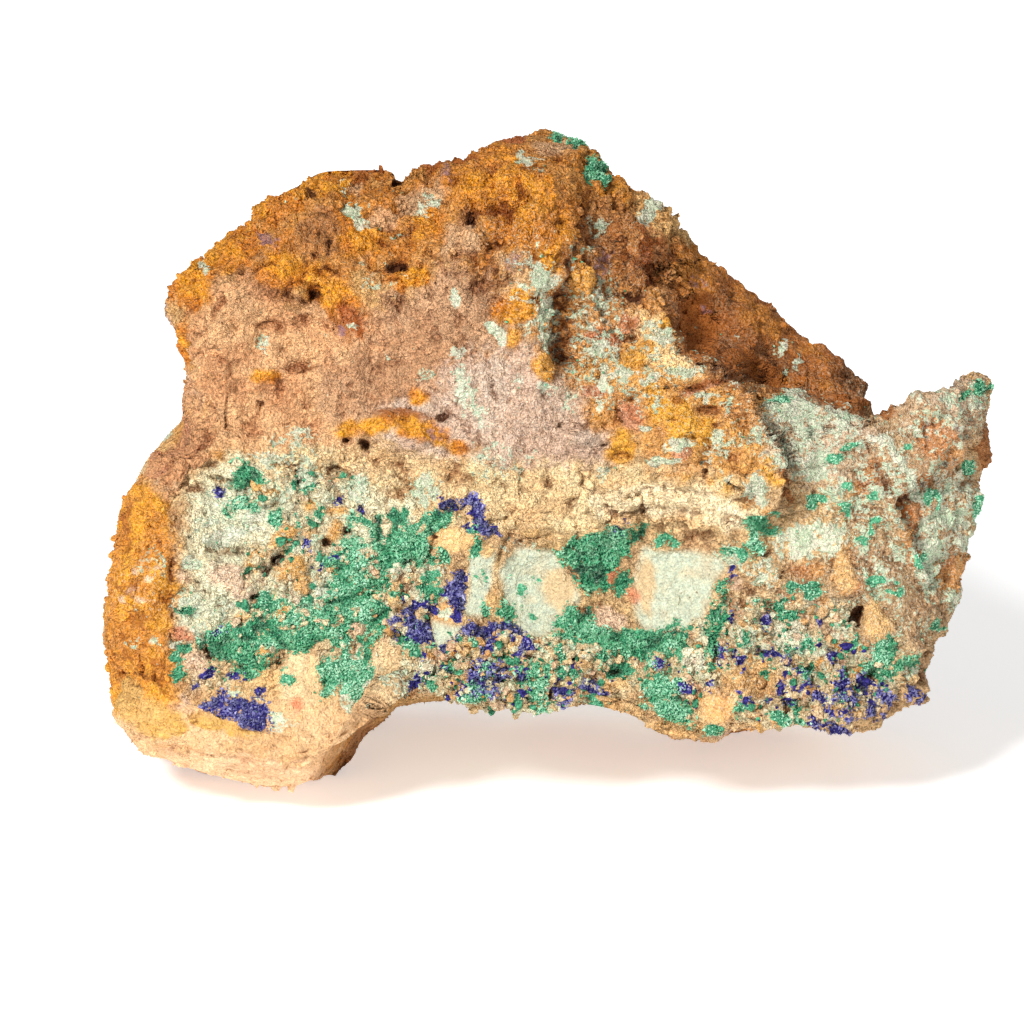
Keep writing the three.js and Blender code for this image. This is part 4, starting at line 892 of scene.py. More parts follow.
AZURE = ovals(  # flecks of azurite outside the crusts
    (-6.4, 14.6, 1, 0.8), (-9, 17.4, 0.8, 0.7), (-3.6, 15.6, 1.2, 0.9), (1.2, 16.4, 0.8, 0.9),
    (-0.6, 13.2, 1.2, 0.6), (-3, 20.2, 1, 0.7), (7.2, 14, 1, 0.8), (8.6, 17.6, 0.7, 0.6),
    (-39.4, 16.4, 0.8, 0.6), (-11.6, 21.4, 1.6, 1.4), (27.1, 28.3, 0.5, 1), (26.6, 23.5, 1.1, 0.8),
    (32, 23, 0.8, 1), (32.2, 18.9, 1.8, 0.7), (26.1, 19, 0.8, 1), (28.5, 18.7, 0.9, 0.9),
    (29.2, 17.2, 0.5, 0.4), (34.1, 18.5, 0.8, 0.7), (38.8, 22.6, 0.8, 0.5), (39.7, 18.7, 1.2, 0.8),
    (35.9, 16.8, 0.8, 0.7), (41.3, 17, 0.8, 0.5), (33.9, 14.6, 0.6, 0.9), (36.1, 14.6, 1.3, 0.6),
    (38.4, 13.9, 0.8, 0.6), (41.5, 15.4, 1.4, 1), (43.8, 15.4, 1.1, 0.9), (42.8, 13.7, 1.2, 1),
    (45.9, 12.6, 1.3, 2), (32.4, 12.9, 0.8, 0.6), (34.7, 13.1, 0.8, 0.6), (39, 12.3, 1.4, 0.8),
    (38.2, 10.4, 1.5, 1.2), (40.7, 9.4, 1.6, 0.6), (24.7, 15.6, 0.6, 1.2), (21.6, 15.4, 0.8, 1),
    (28.3, 13.9, 0.8, 0.6), (29.3, 13.1, 0.7, 0.8), (50.4, 13.6, 1, 1), (10.5, 14.3, 2.2, 0.9),
    (17.5, 17.5, 0.7, 0.6), (-12.4, 15.3, 0.6, 1.3), (-11.7, 18.7, 0.6, 0.8), (-1.5, 17.3, 1.3, 1),
    (-3.6, 18.5, 0.8, 0.7), (-36, 38.9, 0.6, 0.6), (-37.4, 17.1, 1.1, 0.9), (-36.8, 21.6, 0.6, 0.8),
    (-25.3, 32.1, 0.6, 0.6), (-23.8, 30, 0.5, 0.7), (-22, 31.2, 0.5, 0.5), (-21.5, 38.1, 0.6, 0.6),
    (-18.9, 37.5, 0.6, 0.6), (13.5, 33.2, 0.9, 0.5), (-30.7, 15.1, 0.6, 0.7), (5.8, 16, 0.8, 0.7),
    (-11.5, 25.1, 0.7, 0.7), (-9.7, 25.1, 1, 0.8), (-5, 35.6, 0.7, 1.6), (-1.8, 34.4, 0.5, 0.7),
    (-6, 28.8, 1, 1), (-7.4, 26.7, 0.9, 1), (-6.8, 24.8, 1, 1), (2.6, 20.6, 1.6, 0.6),
    (-33.4, 16.6, 1.6, 0.6),
)
RUST_AND_SHADOW = ovals(  # rusty stains, with how thick they are; those along the crown's gullies, the knob's right edge, the wing's V and the horn's right side are painted shadow
    (-18.3, 79.5, 2.4, 1, 0.8), (-7.1, 79.4, 4, 0.9, 0.8), (23.5, 60, 2, 4, 1, 10),
    (30, 55, 5, 1.4, 0.7, -25), (41, 49.9, 4, 1, 0.8, -15), (-14, 48.6, 4.2, 0.8, 0.75, -6),
    (-47, 23, 2.4, 1.4, 0.7), (-48.6, 18.6, 2, 1, 0.7), (-48, 27, 1.6, 1, 0.6), (-49, 35, 1.2, 3, 0.6),
    (-44, 17.4, 2, 0.6, 0.6), (23.4, 52.6, 2.5, 0.6, 0.9, 25), (20.5, 50, 0.9, 0.7, 0.9),
    (34.4, 41, 0.7, 4, 0.9, 5), (6.8, 64, 0.8, 8, 0.55), (9.4, 74, 0.8, 4, 0.5), (13, 70, 0.8, 5, 0.5),
    (-21.4, 59.6, 0.7, 2.4, 0.8, 35), (46.3, 48.6, 1.6, 0.9), (57, 48.6, 0.8, 1.8, 0.6),
    (59.2, 44, 1, 3, 0.9), (-28, 65, 0.5, 1.6, 0.6, 10), (14.6, 60.4, 0.8, 0.7, 0.7),
    (-29.6, 53.4, 2, 0.8, 0.4), (51.6, 28.4, 1, 0.8, 0.8), (-10, 45, 3, 0.6, 0.4),
    (48.6, 36.4, 0.7, 2.2, 0.9, 20), (50.8, 40.2, 0.6, 2.4, 0.9, -50), (50.6, 32, 0.6, 2.4, 0.8, 28),
    (53, 42.6, 0.6, 2, 0.7, -50),
)
LILAC = ovals(  # lilac-brown stains, with how thick they are
    (-30, 70.5, 1.2, 0.9, 0.9), (-21.3, 58.7, 0.7, 0.8), (0, 67.3, 1.5, 1.4, 0.7), (11.4, 67.3, 1.1, 2, 0.8),
    (-42.2, 63, 0.6, 1.2, 0.7), (24.3, 61.7, 1, 0.7, 0.8), (22.8, 65, 1.6, 1, 0.7),
    (-7.9, 77.4, 0.9, 0.7, 0.8), (-9.6, 46.2, 1.6, 1.6, 0.6), (-18, 44, 1.4, 1.2, 0.4),
    (51.6, 46.6, 0.7, 1.6, 0.5), (-39.4, 18, 1, 0.8, 0.5), (55, 46.8, 0.7, 1.6, 0.7, 10),
)
HOLES = ovals(  # holes, with their depth and how dark they are painted; the dark is painted shade
    (-7.2, 18.6, 0.5, 0.4, 0.8), (-5, 17.2, 0.5, 0.5, 0.9), (-1.2, 15.6, 0.6, 0.5, 0.9),
    (5.2, 13.6, 0.5, 0.7, 0.9), (2.4, 19.4, 0.8, 0.4, 0.8), (8.2, 18.6, 0.5, 0.4, 0.8),
    (-10.2, 18.6, 0.4, 0.6, 0.8), (13.4, 17, 0.6, 0.4, 0.7), (-14.5, 67.4, 1, 0.7, 1.6, 10),
    (-25.2, 76.6, 0.6, 0.6), (-24.1, 63.2, 0.8, 0.5, 1.1, 10), (-24.9, 63.2, 0.3, 1.2, 0.7),
    (-27.9, 63.6, 0.3, 1.2, 0.6, 10), (-5.2, 72.9, 0.7, 1, 1.2, 20), (-18.4, 44.7, 0.5, 1.1, 1.3, 30),
    (-20.6, 45.4, 0.4, 0.6, 1, 60), (-8.8, 48.2, 0.9, 0.6, 1, 30), (-31, 50.4, 0.5, 0.5, 0.7),
    (-29.1, 30.5, 0.8, 0.6, 1.5, 35), (-30.1, 29.2, 0.6, 0.4, 1.1, 35), (-22.9, 33, 0.6, 0.5, 1.2),
    (-20.6, 34.3, 0.6, 0.4), (-31.6, 25.8, 0.5, 0.6), (-37.8, 18.9, 0.6, 0.8, 1.3, 30),
    (-25.8, 40.4, 0.3, 0.6, 0.8), (23.5, 41.1, 0.35, 0.4, 0.9), (26.8, 39.7, 0.25, 0.25, 0.6),
    (34.1, 12.1, 0.5, 1), (44.8, 16.6, 0.8, 0.7, 1.2), (43, 23.3, 0.7, 1, 1.4, -30), (14.2, 63.9, 1.5, 0.8),
    (25.2, 19, 0.4, 1.6, 0.9), (31, 19.3, 0.6, 0.5, 0.9), (-13.9, 79, 0.4, 0.7, 0.8),
    (-22.6, 70, 0.8, 0.4, 0.6, 60), (-12.5, 15.4, 0.4, 0.4, 0.4), (5.8, 18.6, 0.4, 0.4, 0.7),
    (-9.2, 33.6, 0.3, 0.9, 0.8, 25),
)
GROOVES = (  # narrow ditches, with their depth
    Line(0.3, ((-50.4, 16.9, 0.5), (-43, 16.6, 0.5))),
    Line(0.3, ((-25.8, 41, 0.6), (-26.1, 38.6, 0.6), (-25.9, 36.3, 0.3))),
    Line(0.5, ((-41.8, 38, 0.3), (-41.6, 33, 0.6), (-41.8, 26, 0.6), (-41.4, 20, 0.5), (-39, 17, 0.3))),
    Line(0.5, ((9.4, 78, 0.3), (9.2, 74, 0.9), (7, 68, 0.8), (6.8, 61, 0.9), (6.6, 54, 0.5))),
    Line(0.5, ((14, 74, 0.3), (13.4, 70, 0.9), (13.6, 65, 0.8))),
    Line(0.5, ((-6, 74, 0.3), (-4.6, 71.4, 0.9), (-2.6, 69, 0.7), (-1.6, 66, 0.6), (-0.6, 63.6, 0.3))),
    Line(0.45, ((27, 53.4, 0.3), (22, 52.2, 0.7), (17, 51.6, 0.5), (13, 52, 0.2))),
    Line(0.4, ((19.4, 57, 0.3), (22.4, 55.6, 0.6), (26, 55.6, 0.4), (29, 53.4, 0.3))),
    Line(0.35, ((10, 46, 0.2), (13, 43.6, 0.5), (18, 41.6, 0.4), (24, 42.4, 0.6), (27, 40.4, 0.3))),
    Line(0.4, ((-11.6, 37, 0.2), (-10, 34.6, 0.7), (-9.6, 32.6, 0.6), (-10.4, 30.4, 0.6), (-10, 28.6, 0.2))),
    Line(0.4, ((15.6, 37.6, 0.3), (15.8, 34.6, 0.7), (16, 32.6, 0.3))),
    Line(0.35, ((-24, 72.6, 0.3), (-22.6, 69.6, 0.8), (-23.4, 66.4, 0.5), (-22.6, 63.6, 0.3))),
    Line(0.4, (
        (53.6, 27.4, 0.4), (51.2, 31, 0.9), (49.2, 34.6, 1.1), (48.3, 37.4, 1.2), (50, 39.4, 1.1),
        (52.4, 41.6, 0.9), (54.6, 43.4, 0.5),
    )),
    Line(0.9, ((48.2, 38.8, -0.3), (50.2, 41.2, -1.2), (53.4, 44.8, -1.2), (56, 48, -0.6))),
    Line(0.9, ((47.2, 37.4, -0.9), (48.4, 34.2, -1.1), (50.4, 30.6, -0.9), (52.2, 27.6, -0.3))),
    Line(0.5, ((44.4, 44, 0.4), (45.8, 41.4, 1), (46.7, 38.8, 1))),
    Line(0.45, ((33, 36.2, 0.4), (35, 39, 1.1), (35.2, 43, 1.1), (33.8, 46.4, 0.9), (31.6, 49.4, 0.4))),
    Line(0.35, ((51, 49, 0.3), (51.8, 46, 0.6), (51.2, 43, 0.5), (52.6, 40.6, 0.2))),
    Line(0.4, ((39.6, 33, 0.3), (39.8, 30.4, 0.8), (39.6, 27.6, 0.6), (38.8, 25, 0.2))),
)
ROUGH = ovals(  # how rough the skin is, where it isn't 1
    (-12, 74, 28, 11, 1.25), (10, 66, 13, 16, 1.25), (-22, 53, 18, 8, 0.85), (-2, 50, 9, 7, 0.85),
    (31, 59, 15, 7, 0.6, -38), (25, 47, 11, 9), (-46, 28, 6, 18, 0.8), (-33, 5, 20, 11, 0.26),
    (48, 36, 13, 22, 0.8), (-26, 16.6, 2.2, 4, 0.3), (-16, 17, 1.8, 3, 0.4), (-7, 33, 2.6, 1.6, 0.4),
    (25.5, 12.4, 2.2, 2.4, 0.4), (-8, 23.2, 2, 2.4, 0.4), (37, 33, 4, 3, 0.5), (-18.5, 15.6, 3, 4, 0.6),
)
CRUMBLY = ovals(  # how crumbly the skin is, where it isn't a fifth
    (-24, 29, 17, 14, 0.95), (-37, 19, 4.5, 4, 0.8), (0, 17, 16, 6, 1.1), (33, 18, 17, 9),
    (0, 36, 26, 5, 0.42), (-37, 31, 4, 8, 0.4), (-33, 34.6, 4.4, 2.4, 0.3), (12, 62, 10, 14, 0.4),
    (-12, 76, 28, 7, 0.35), (-26, 16.6, 2.2, 4, 0.1), (-16, 17, 1.8, 3, 0.2), (-7, 33, 2.6, 1.6, 0.1),
    (25.5, 12.4, 2.2, 2.4, 0.2), (-8, 23.2, 2, 2.4, 0.1), (30, 15.8, 4, 2, 0.4), (-18.5, 15.4, 3, 3.6, 0.3),
    (-16, 12, 4, 4, 0.05), (45, 22.6, 2.4, 3.2, 0.2),
)


EARTH = "c39a62"  # the earth's colour where nothing lies over it
DRIFTS = (  # colour, wave, octaves and seed of the noise, and its gain and rise, for each drift in the earth
    ("b67a32", 15, 4, 20, 1.2, 0.5), ("cfb490", 19, 3, 22, 2, -0.3), ("8a5626", 11, 3, 23, 2.2, -0.8),
    ("b89a88", 9, 3, 37, 3, -1.2),
)
LUMPS = (  # the colours of the lumps in the crumbly places, each taken by the picks below its limit
    (0.1, "c08030"), (0.32, "cfd4b8"), (0.42, "b4886a"), (0.54, "a0a686"), (1, "ccb78e"),
)
FLOORS = ("a1a996", "a39f88")  # the two colours that speck the floors of the pockets


@dataclass
class Weathering:
    """Gives the skin its fine relief and its minerals."""

    skin: Skin
    edge_reach: float = 0.45  # how far behind the rim the face's minerals go on, as a share of the depth
    hole_depth: float = 1.3  # how deep a hole with an amount of 1 is, in millimetres

    def __post_init__(self) -> None:
        """Takes the places at which the face's drawings are read, shifted a little to ruffle their edges."""
        skin = self.skin
        own = skin.points
        self.x = skin.x + 0.5 * noise(own, 4, 3) + 0.42 * noise(own, 1.3, 4)
        self.u = skin.u + 0.5 * noise(own, 4, 5) + 0.42 * noise(own, 1.3, 6)
        self.face = np.where(skin.front, 1, smooth((self.edge_reach - skin.keep) / self.edge_reach))
        self.pocket = np.max([footprint(line, self.x, self.u, 0.9) for line in POCKETS], axis=0) * self.face

    def laid(self, base: float, places: tuple, edge: float) -> Array:
        """A number that starts as base and takes each oval's amount inside it."""
        value = base * np.ones(len(self.x))
        for one in places:
            cover = replace(one, amount=1).cover(self.x, self.u, edge) * self.face
            value = mix(value, one.amount, cover)
        return value

    def film(self, places: tuple, edge: float) -> Array:
        """The thickest cover that any of the ovals gives."""
        return np.max([one.cover(self.x, self.u, edge) for one in places], axis=0) * self.face

    def relief(self) -> None:
        """Moves the skin along its normals.

        The height is lumps and creases of four sizes and the facets of blocks, scaled by how rough the
        place is, and crowded domes, scaled by how crumbly it is. It fades towards the rim and is nearly
        flat in the pockets. The clods stand on it, and the grooves, the ledges and the holes are cut in.
        """
        skin, p = self.skin, self.skin.points
        rough = self.laid(1, ROUGH, 0.6)
        open_ground = 1 - self.pocket
        crumbly = self.laid(0.2, CRUMBLY, 0.5) * open_ground
        even = mix(0.15, 1, open_ground)
        finest = np.where(skin.front, 1, 0.3)

        q = p + 0.9 * np.stack([noise(p, 5, seed) for seed in (11, 12, 13)], 1)
        broad = 0.9 * lumps(q, 8, 1) + 0.35 * noise(q, 12, 2)
        fine = 0.6 * lumps(q, 3.7, 14) + 0.5 * lumps(q, 1.9, 7) + 0.36 * finest * lumps(q, 1.05, 8)
        (large, _, _), (small, chip, self.small_pick) = crowd(q, 2.5, 1), crowd(q, 1.2, 2)
        chip = chip * finest
        self.tiny_pick = crowd(p, 0.8, 4)[2]
        block = 1.5 * crowd(q, 3.4, 3)[1] + 0.55 * chip
        crumbs = 1.1 * (large - 0.62) + 0.7 * (small - 0.62)
        pits = smooth((0.7 * noise(q, 1.9, 9) + 0.3 * noise(q, 0.9, 10) - 0.4) / 0.16) * 0.6

        least = 0.14 + 0.3 * smooth((skin.u - 50) / 10)
        inner = mix(least, 1, smooth(skin.keep / np.where(skin.front, 0.6, 2.4)))
        inner = inner * (1 - 0.8 * smooth(1.5 - 1.5 * skin.keep) * NOTCH.swelling(skin.x, skin.u))
        rocky = rough * (0.6 * broad - pits + block) + (0.3 + 0.7 * rough) * fine
        height = inner * (even * rocky + crumbly * crumbs)

        flat, ruffled = (skin.x, skin.u), (self.x, self.u)
        grooves = sum(one.groove(*flat) for one in GROOVES) * self.face
        ledges = sum(one.step(*ruffled) for one in LEDGES) * self.face
        holes = sum(one.sharp(*flat) for one in HOLES) * self.face
        clods = sum(one.sharp(*ruffled) for _, places in CLODS for one in places) * self.face
        raised = height + clods - grooves - ledges - self.hole_depth * holes
        skin.points = p + skin.normals() * raised[:, None]
        skin.points[:, 2] = np.maximum(skin.points[:, 2], 0)
        above = np.maximum(skin.points[:, 2] - TOP, 0)
        skin.points[:, 2] -= above - TOP_GIVE * (1 - np.exp(-above / TOP_GIVE))

        low = even * (rough * (0.7 * fine + 0.8 * block - pits) + 0.3 * fine) + crumbly * crumbs
        # How low a place lies among its neighbours, most in holes and grooves. The finishes darken by it as
        # painted shade, partly a stain gathered there.
        hollow = 0.25 + 0.1 * crumbly - 0.8 * low + 1.2 * holes + 0.9 * grooves - 0.5 * clods
        skin.fields["hollow"] = smooth(hollow)
        skin.fields["rough"] = rough * even
        skin.fields["crumbly"] = crumbly

    def broken(self, cover: Array, share: float, pick: Array | None = None) -> Array:
        """A cover torn into whole lumps: a lump carries the mineral if its pick is low enough for the cover.

        Args:
            cover: 1 well inside, 0 well outside.
            share: the share of the lumps that carry the mineral well inside.
            pick: each point's own number from 0 to 1, shared over its lump; the small lumps' if not given.

        Returns:
            The torn cover.
        """
        pick = self.small_pick if pick is None else pick
        return smooth(((cover - 0.5) + 0.9 * (share - 0.556 - pick)) * 4 + 0.5) * self.face

    def earth(self, drift: Array) -> tuple[Array, Array]:
        """The colour of the earth.

        Drifts of colour go all through it. The grounds are laid over them, then the colours of the lumps in
        the crumbly places, the floors of the pockets, painted light along the shaded lower edge, and the
        clods.

        Args:
            drift: the points, turned and swirled, at which the drifts' noise is read.

        Returns:
            The colour of each point, and how far it lies on a clod.
        """
        skin, p = self.skin, self.skin.points
        ground = linear(EARTH)
        for colour, wave, octaves, seed, gain, rise in DRIFTS:
            cover = smooth(gain * fractal(drift, wave, octaves, seed) + rise)[:, None]
            ground = mix(ground, linear(colour), cover)
        mottle = smooth(0.5 + 1.1 * noise(p, 4.2, 28) + 0.8 * noise(p, 1.8, 29))[:, None]
        torn = 0.6 * (self.tiny_pick - 0.5) + 0.5 * noise(p, 1.1, 44)
        for layer in GROUNDS:
            cover = self.film(layer.places, layer.edge)
            cover = smooth(cover + 4 * torn * cover * (1 - cover))[:, None]
            ground = mix(ground, mix(linear(layer.colour), linear(layer.second), mottle), cover)

        crumb = self.small_pick[:, None]
        lump = np.select([crumb < limit for limit, _ in LUMPS], [linear(colour) for _, colour in LUMPS])
        crumbly = np.clip((skin.fields["crumbly"] - 0.5) * 2, 0, 1)[:, None]
        ground = mix(ground, lump, crumbly * 0.7 * self.face[:, None])
        speck = smooth(2.5 * noise(p, 1.7, 27) - 0.3)[:, None]
        ground = mix(ground, mix(linear(FLOORS[0]), linear(FLOORS[1]), speck), self.pocket[:, None])
        # Painted light: where the front turns under along its lower edge, its colour is lightened to offset
        # the shade there.
        painted_underside_light = smooth(1.3 - 1.3 * skin.keep) * smooth((16 - skin.u) / 3) * skin.front
        ground = mix(ground, np.minimum(1, 1.1 * ground + 0.01), painted_underside_light[:, None])
        clod = np.zeros(len(p))
        for colour, places in CLODS:
            cover = self.film(tuple(replace(one, amount=1) for one in places), 0.4)
            ground = mix(ground, linear(colour), 0.85 * cover[:, None])
            clod = np.maximum(clod, cover)
        return ground, clod

    def minerals(self) -> None:
        """Sets the colour of the earth, the crusts' covers and the films over each point."""
        skin, p = self.skin, self.skin.points
        drift = p @ np.array([(0.8, 0.36, 0.48), (-0.6, 0.48, 0.64), (0, -0.8, 0.6)])
        for height, wave, seeds in ((5, 9, (31, 32, 33)), (1.4, 2.2, (34, 35, 36))):
            drift = drift + height * np.stack([noise(drift, wave, seed) for seed in seeds], 1)
        skin.fields["ground"], clod = self.earth(drift)
        bare, rear = 1 - clod, 1 - self.face

        patchy = noise(drift, 8, 24) + 0.5 * noise(p, 2.6, 25)
        lines = np.maximum(1 - np.abs(noise(p, 3.6, 40)) / 0.14, 1 - np.abs(noise(p, 1.9, 43)) / 0.12)
        vein = smooth(lines) * self.film(VEINED, 1.2)
        mint = np.maximum(self.film(MINT, 1.0) * (1.25 - 0.6 * self.small_pick), 0.8 * vein)
        mint = mint * (1 - 0.8 * clod) * (1 - 0.7 * self.pocket)
        skin.fields["mint"] = np.maximum(mint, rear * smooth(1.8 * patchy - 0.75))

        for name, line in (MALACHITE | AZURITE).items():
            cover = footprint(line, self.x, self.u, 3.0 if name in MALACHITE else 1.4)
            share = SHARES.get(name, 0.97)
            pick = self.tiny_pick if share < 0.7 else self.small_pick
            skin.covers[name] = self.broken(cover, share, pick) * bare
        green = np.max([skin.covers[name] for name in MALACHITE], axis=0)
        azure = np.max([skin.covers[name] for name in AZURITE], axis=0)
        loose_green = self.broken(self.film(GREEN, 0.9), 0.9) * bare
        loose_azure = self.broken(self.film(AZURE, 0.9), 0.85, self.tiny_pick) * bare
        sprinkled = (self.small_pick > 0.94) * np.clip(2 * skin.fields["crumbly"] - 1, 0, 1)
        rear_green = rear * smooth(3 * patchy - 2.4)
        skin.fields["green"] = np.max([green, loose_green, rear_green, sprinkled], axis=0)
        skin.fields["azure"] = np.maximum(azure, loose_azure)

        rear_rust = 0.8 * rear * smooth(2 * noise(drift, 5, 26) - 0.6)
        skin.fields["rust"] = np.maximum(self.film(RUST_AND_SHADOW, 1.2), rear_rust)
        skin.fields["lilac"] = 0.7 * self.film(LILAC, 1.2)
        # Painted shade: the holes and the grooves are painted dark umber.
        cracks = 0.6 * sum(one.groove(skin.x, skin.u) for one in GROOVES)
        halfway = (self.x + skin.x) * 0.5, (self.u + skin.u) * 0.5
        holes = sum(one.sharp(*halfway) for one in HOLES)
        skin.fields["dark"] = np.minimum(1, np.maximum(holes, cracks)) * self.face
        paleness = self.laid(0.5, GREEN_TONES, 1.0)
        skin.fields["paleness"] = paleness + 0.25 * noise(p, 3, 41) + 0.3 * noise(p, 1, 42)
        skin.fields["salted"] = self.laid(0.03, SALTED, 0.8) * (1 - self.pocket)


# ---- Meshes ----
@dataclass(frozen=True)
class Ball:
    """A ball folded from a square sheet: its points, its triangles and their corners' places on the sheet."""

    points: Array
    faces: Array
    uv: Array

    @classmethod
    def folded(cls, cells: int) -> "Ball":
        """Folds a square of cells by cells over an octahedron and blows it up to a ball.

        A place (s, t) of the sheet stands at height 1 - |s| - |t|; beyond the middle diamond the corners
        fold under, to ((1 - |t|) sign s, (1 - |s|) sign t). Two triangles a cell follow the folds.
        """
        steps = np.linspace(-1, 1, cells + 1)
        t, s = (grid.ravel() for grid in np.meshgrid(steps, steps, indexing="ij"))
        height = 1 - np.abs(s) - np.abs(t)
        side_s, side_t = np.where(s < 0, -1, 1), np.where(t < 0, -1, 1)
        flat_s = np.where(height < 0, (1 - np.abs(t)) * side_s, s)
        flat_t = np.where(height < 0, (1 - np.abs(s)) * side_t, t)
        sheet = unit(np.stack([flat_s, flat_t, height], 1))
        _, first, merged = np.unique(np.round(sheet, 6) + 0.0, axis=0, return_index=True, return_inverse=True)
        merged = merged.ravel()
        rows = np.arange(len(s)).reshape(cells + 1, cells + 1)
        a, b, c, d = (r.ravel() for r in (rows[:-1, :-1], rows[:-1, 1:], rows[1:, 1:], rows[1:, :-1]))
        falling = ((s[a] + s[c]) * (t[a] + t[c]) > 0)[:, None]
        one = np.where(falling, np.stack([a, b, d], 1), np.stack([a, b, c], 1))
        two = np.where(falling, np.stack([b, c, d], 1), np.stack([a, c, d], 1))
        corners = np.stack([one, two], 1).reshape(-1, 3)
        uv = np.stack([s, t], 1)[corners.ravel()] * 0.5 + 0.5
        return cls(sheet[first], merged[corners], uv)


def add_piece(
    name: str, points: Array, faces: Array, uv: Array, fields: dict, rounded: bool,
) -> bpy.types.Object:
    """Makes a mesh piece.

    Args:
        name: the piece's name.
        points: rows of x, y, z in millimetres.
        faces: rows of three points.
        uv: the baked picture's place of each face's corners, in the faces' order.
        fields: numbers or colours for each point, by name.
        rounded: whether light rounds the faces off.

    Returns:
        The piece, at the origin.
    """
    mesh = bpy.data.meshes.new(name)
    mesh.vertices.add(len(points))
    mesh.vertices.foreach_set("co", (points * MM).astype(np.float32).ravel())
    mesh.loops.add(faces.size)
    mesh.loops.foreach_set("vertex_index", faces.astype(np.int32).ravel())
    mesh.polygons.add(len(faces))
    mesh.polygons.foreach_set("loop_start", np.arange(0, faces.size, 3, dtype=np.int32))
    mesh.polygons.foreach_set("use_smooth", np.full(len(faces), rounded))
    mesh.uv_layers.new(name="OFBake").data.foreach_set("uv", uv.astype(np.float32).ravel())
    for key, values in fields.items():
        if values.ndim > 1:
            colour = np.concatenate([values, np.ones((len(values), 1))], 1)
            layer = mesh.attributes.new(key, "FLOAT_COLOR", "POINT")
            layer.data.foreach_set("color", colour.astype(np.float32).ravel())
        else:
            mesh.attributes.new(key, "FLOAT", "POINT").data.foreach_set("value", values.astype(np.float32))
    mesh.update(calc_edges=True)
    mesh.validate()
    piece = bpy.data.objects.new(name, mesh)
    bpy.context.scene.collection.objects.link(piece)
    return piece


@dataclass
class Seats:
    """Places on the skin where small things sit: their points, the skin's normals and its fields there."""

    points: Array
    normals: Array
    fields: dict

    @classmethod
    def drawn(cls, skin: Skin, density: Array, count: int, rng: np.random.Generator) -> "Seats":
        """Draws seats over the skin in proportion to a density.

        The cells' area times density is added up along the skin, the sum is cut into equal shares, and a
        seat falls somewhere in each share, so that they spread evenly.

        Args:
            skin: the finished skin.
            density: how thickly to seat, at each point of the skin.
            count: how many seats.
            rng: the source of chance.

        Returns:
            The seats.
        """
        corners = skin.cells
        share = np.cumsum(skin.areas() * density[corners].mean(1))
        cell = np.searchsorted(share, (np.arange(count) + rng.random(count)) / count * share[-1])
        s, t = rng.random((2, count))
        weights = np.stack([(1 - s) * (1 - t), s * (1 - t), s * t, (1 - s) * t], 1)
        corners = corners[np.minimum(cell, len(corners) - 1)]

        def read(values: Array) -> Array:
            """The values of the cells' corners blended at the seats."""
            if values.ndim > 1:
                return (values[corners] * weights[..., None]).sum(1)
            return (values[corners] * weights).sum(1)

        fields = {key: read(values) for key, values in skin.fields.items()}
        fields["x"], fields["u"] = read(skin.x), read(skin.u)
        return cls(read(skin.points), unit(read(skin.normals())), fields)


@dataclass
class Growth:
    """Many small bodies of one kind on their seats.

    Each body is a ball whose points are pushed in and out by chance, stretched along three directions of
    its own, stood up along the skin's normal with a tilt, and sunk a little into its seat.
    """

    ball: Ball
    jitter: float = 0.15
    tilt: float = 0.5
    sink: float = 0.3

    def frames(self, normals: Array, rng: np.random.Generator) -> Array:
        """Three directions for each body: two across it and one along it, as columns."""
        along = unit(normals + self.tilt * rng.normal(size=normals.shape))
        across = unit(np.cross(along, rng.normal(size=normals.shape)))
        return np.stack([across, np.cross(along, across), along], 2)

    def build(
        self, name: str, seats: Seats, sizes: Array, rng: np.random.Generator, rounded: bool = False,
    ) -> bpy.types.Object:
        """Builds every body into one piece.

        Args:
            name: the piece's name.
            seats: where the bodies sit.
            sizes: the half sizes of each body along its three directions, in millimetres.
            rng: the source of chance.
            rounded: whether light rounds the faces off.

        Returns:
            The piece.
        """
        count, corners = len(seats.points), len(self.ball.points)
        shape = self.ball.points * (1 + self.jitter * rng.uniform(-1, 1, (count, corners, 1)))
        local = shape * sizes[:, None, :]
        frames = self.frames(seats.normals, rng)
        centre = seats.points + seats.normals * (sizes[:, 2] * (1 - 2 * self.sink))[:, None]
        points = centre[:, None, :] + np.einsum("nij,nkj->nki", frames, local)
        points[..., 2] = np.maximum(points[..., 2], 0)
        faces = (self.ball.faces[None] + corners * np.arange(count)[:, None, None]).reshape(-1, 3)
        cells = int(np.ceil(np.sqrt(count)))
        place = np.stack([np.arange(count) % cells, np.arange(count) // cells], 1)[:, None, :]
        uv = ((self.ball.uv[None] * 0.86 + 0.07 + place) / cells).reshape(-1, 2)
        fields = {"paleness": np.full(count, 0.5), **seats.fields, "tone": rng.random(count)}
        spread = {key: np.repeat(row, corners, axis=0) for key, row in fields.items() if key not in "xu"}
        return add_piece(name, points.reshape(-1, 3), faces, uv, spread, rounded)


# ---- Materials ----
class Value:
    """A shader number whose arithmetic adds Math nodes."""

    def __init__(self, sheet: "Sheet", socket: bpy.types.NodeSocket) -> None:
        self.sheet, self.socket = sheet, socket

    def maths(self, operation: str, *others: "Value | float", clamp: bool = False) -> "Value":
        """The result of one Math node, with this number first."""
        return self.sheet.maths(operation, self, *others, clamp=clamp)

    def __add__(self, other: "Value | float") -> "Value":
        return self.maths("ADD", other)

    __radd__ = __add__

    def __sub__(self, other: "Value | float") -> "Value":
        return self.maths("SUBTRACT", other)

    def __rsub__(self, other: float) -> "Value":
        return self.sheet.maths("SUBTRACT", other, self)

    def __mul__(self, other: "Value | float") -> "Value":
        return self.maths("MULTIPLY", other)

    __rmul__ = __mul__

    def held(self) -> "Value":
        """Held between 0 and 1."""
        return self.maths("ADD", 0.0, clamp=True)


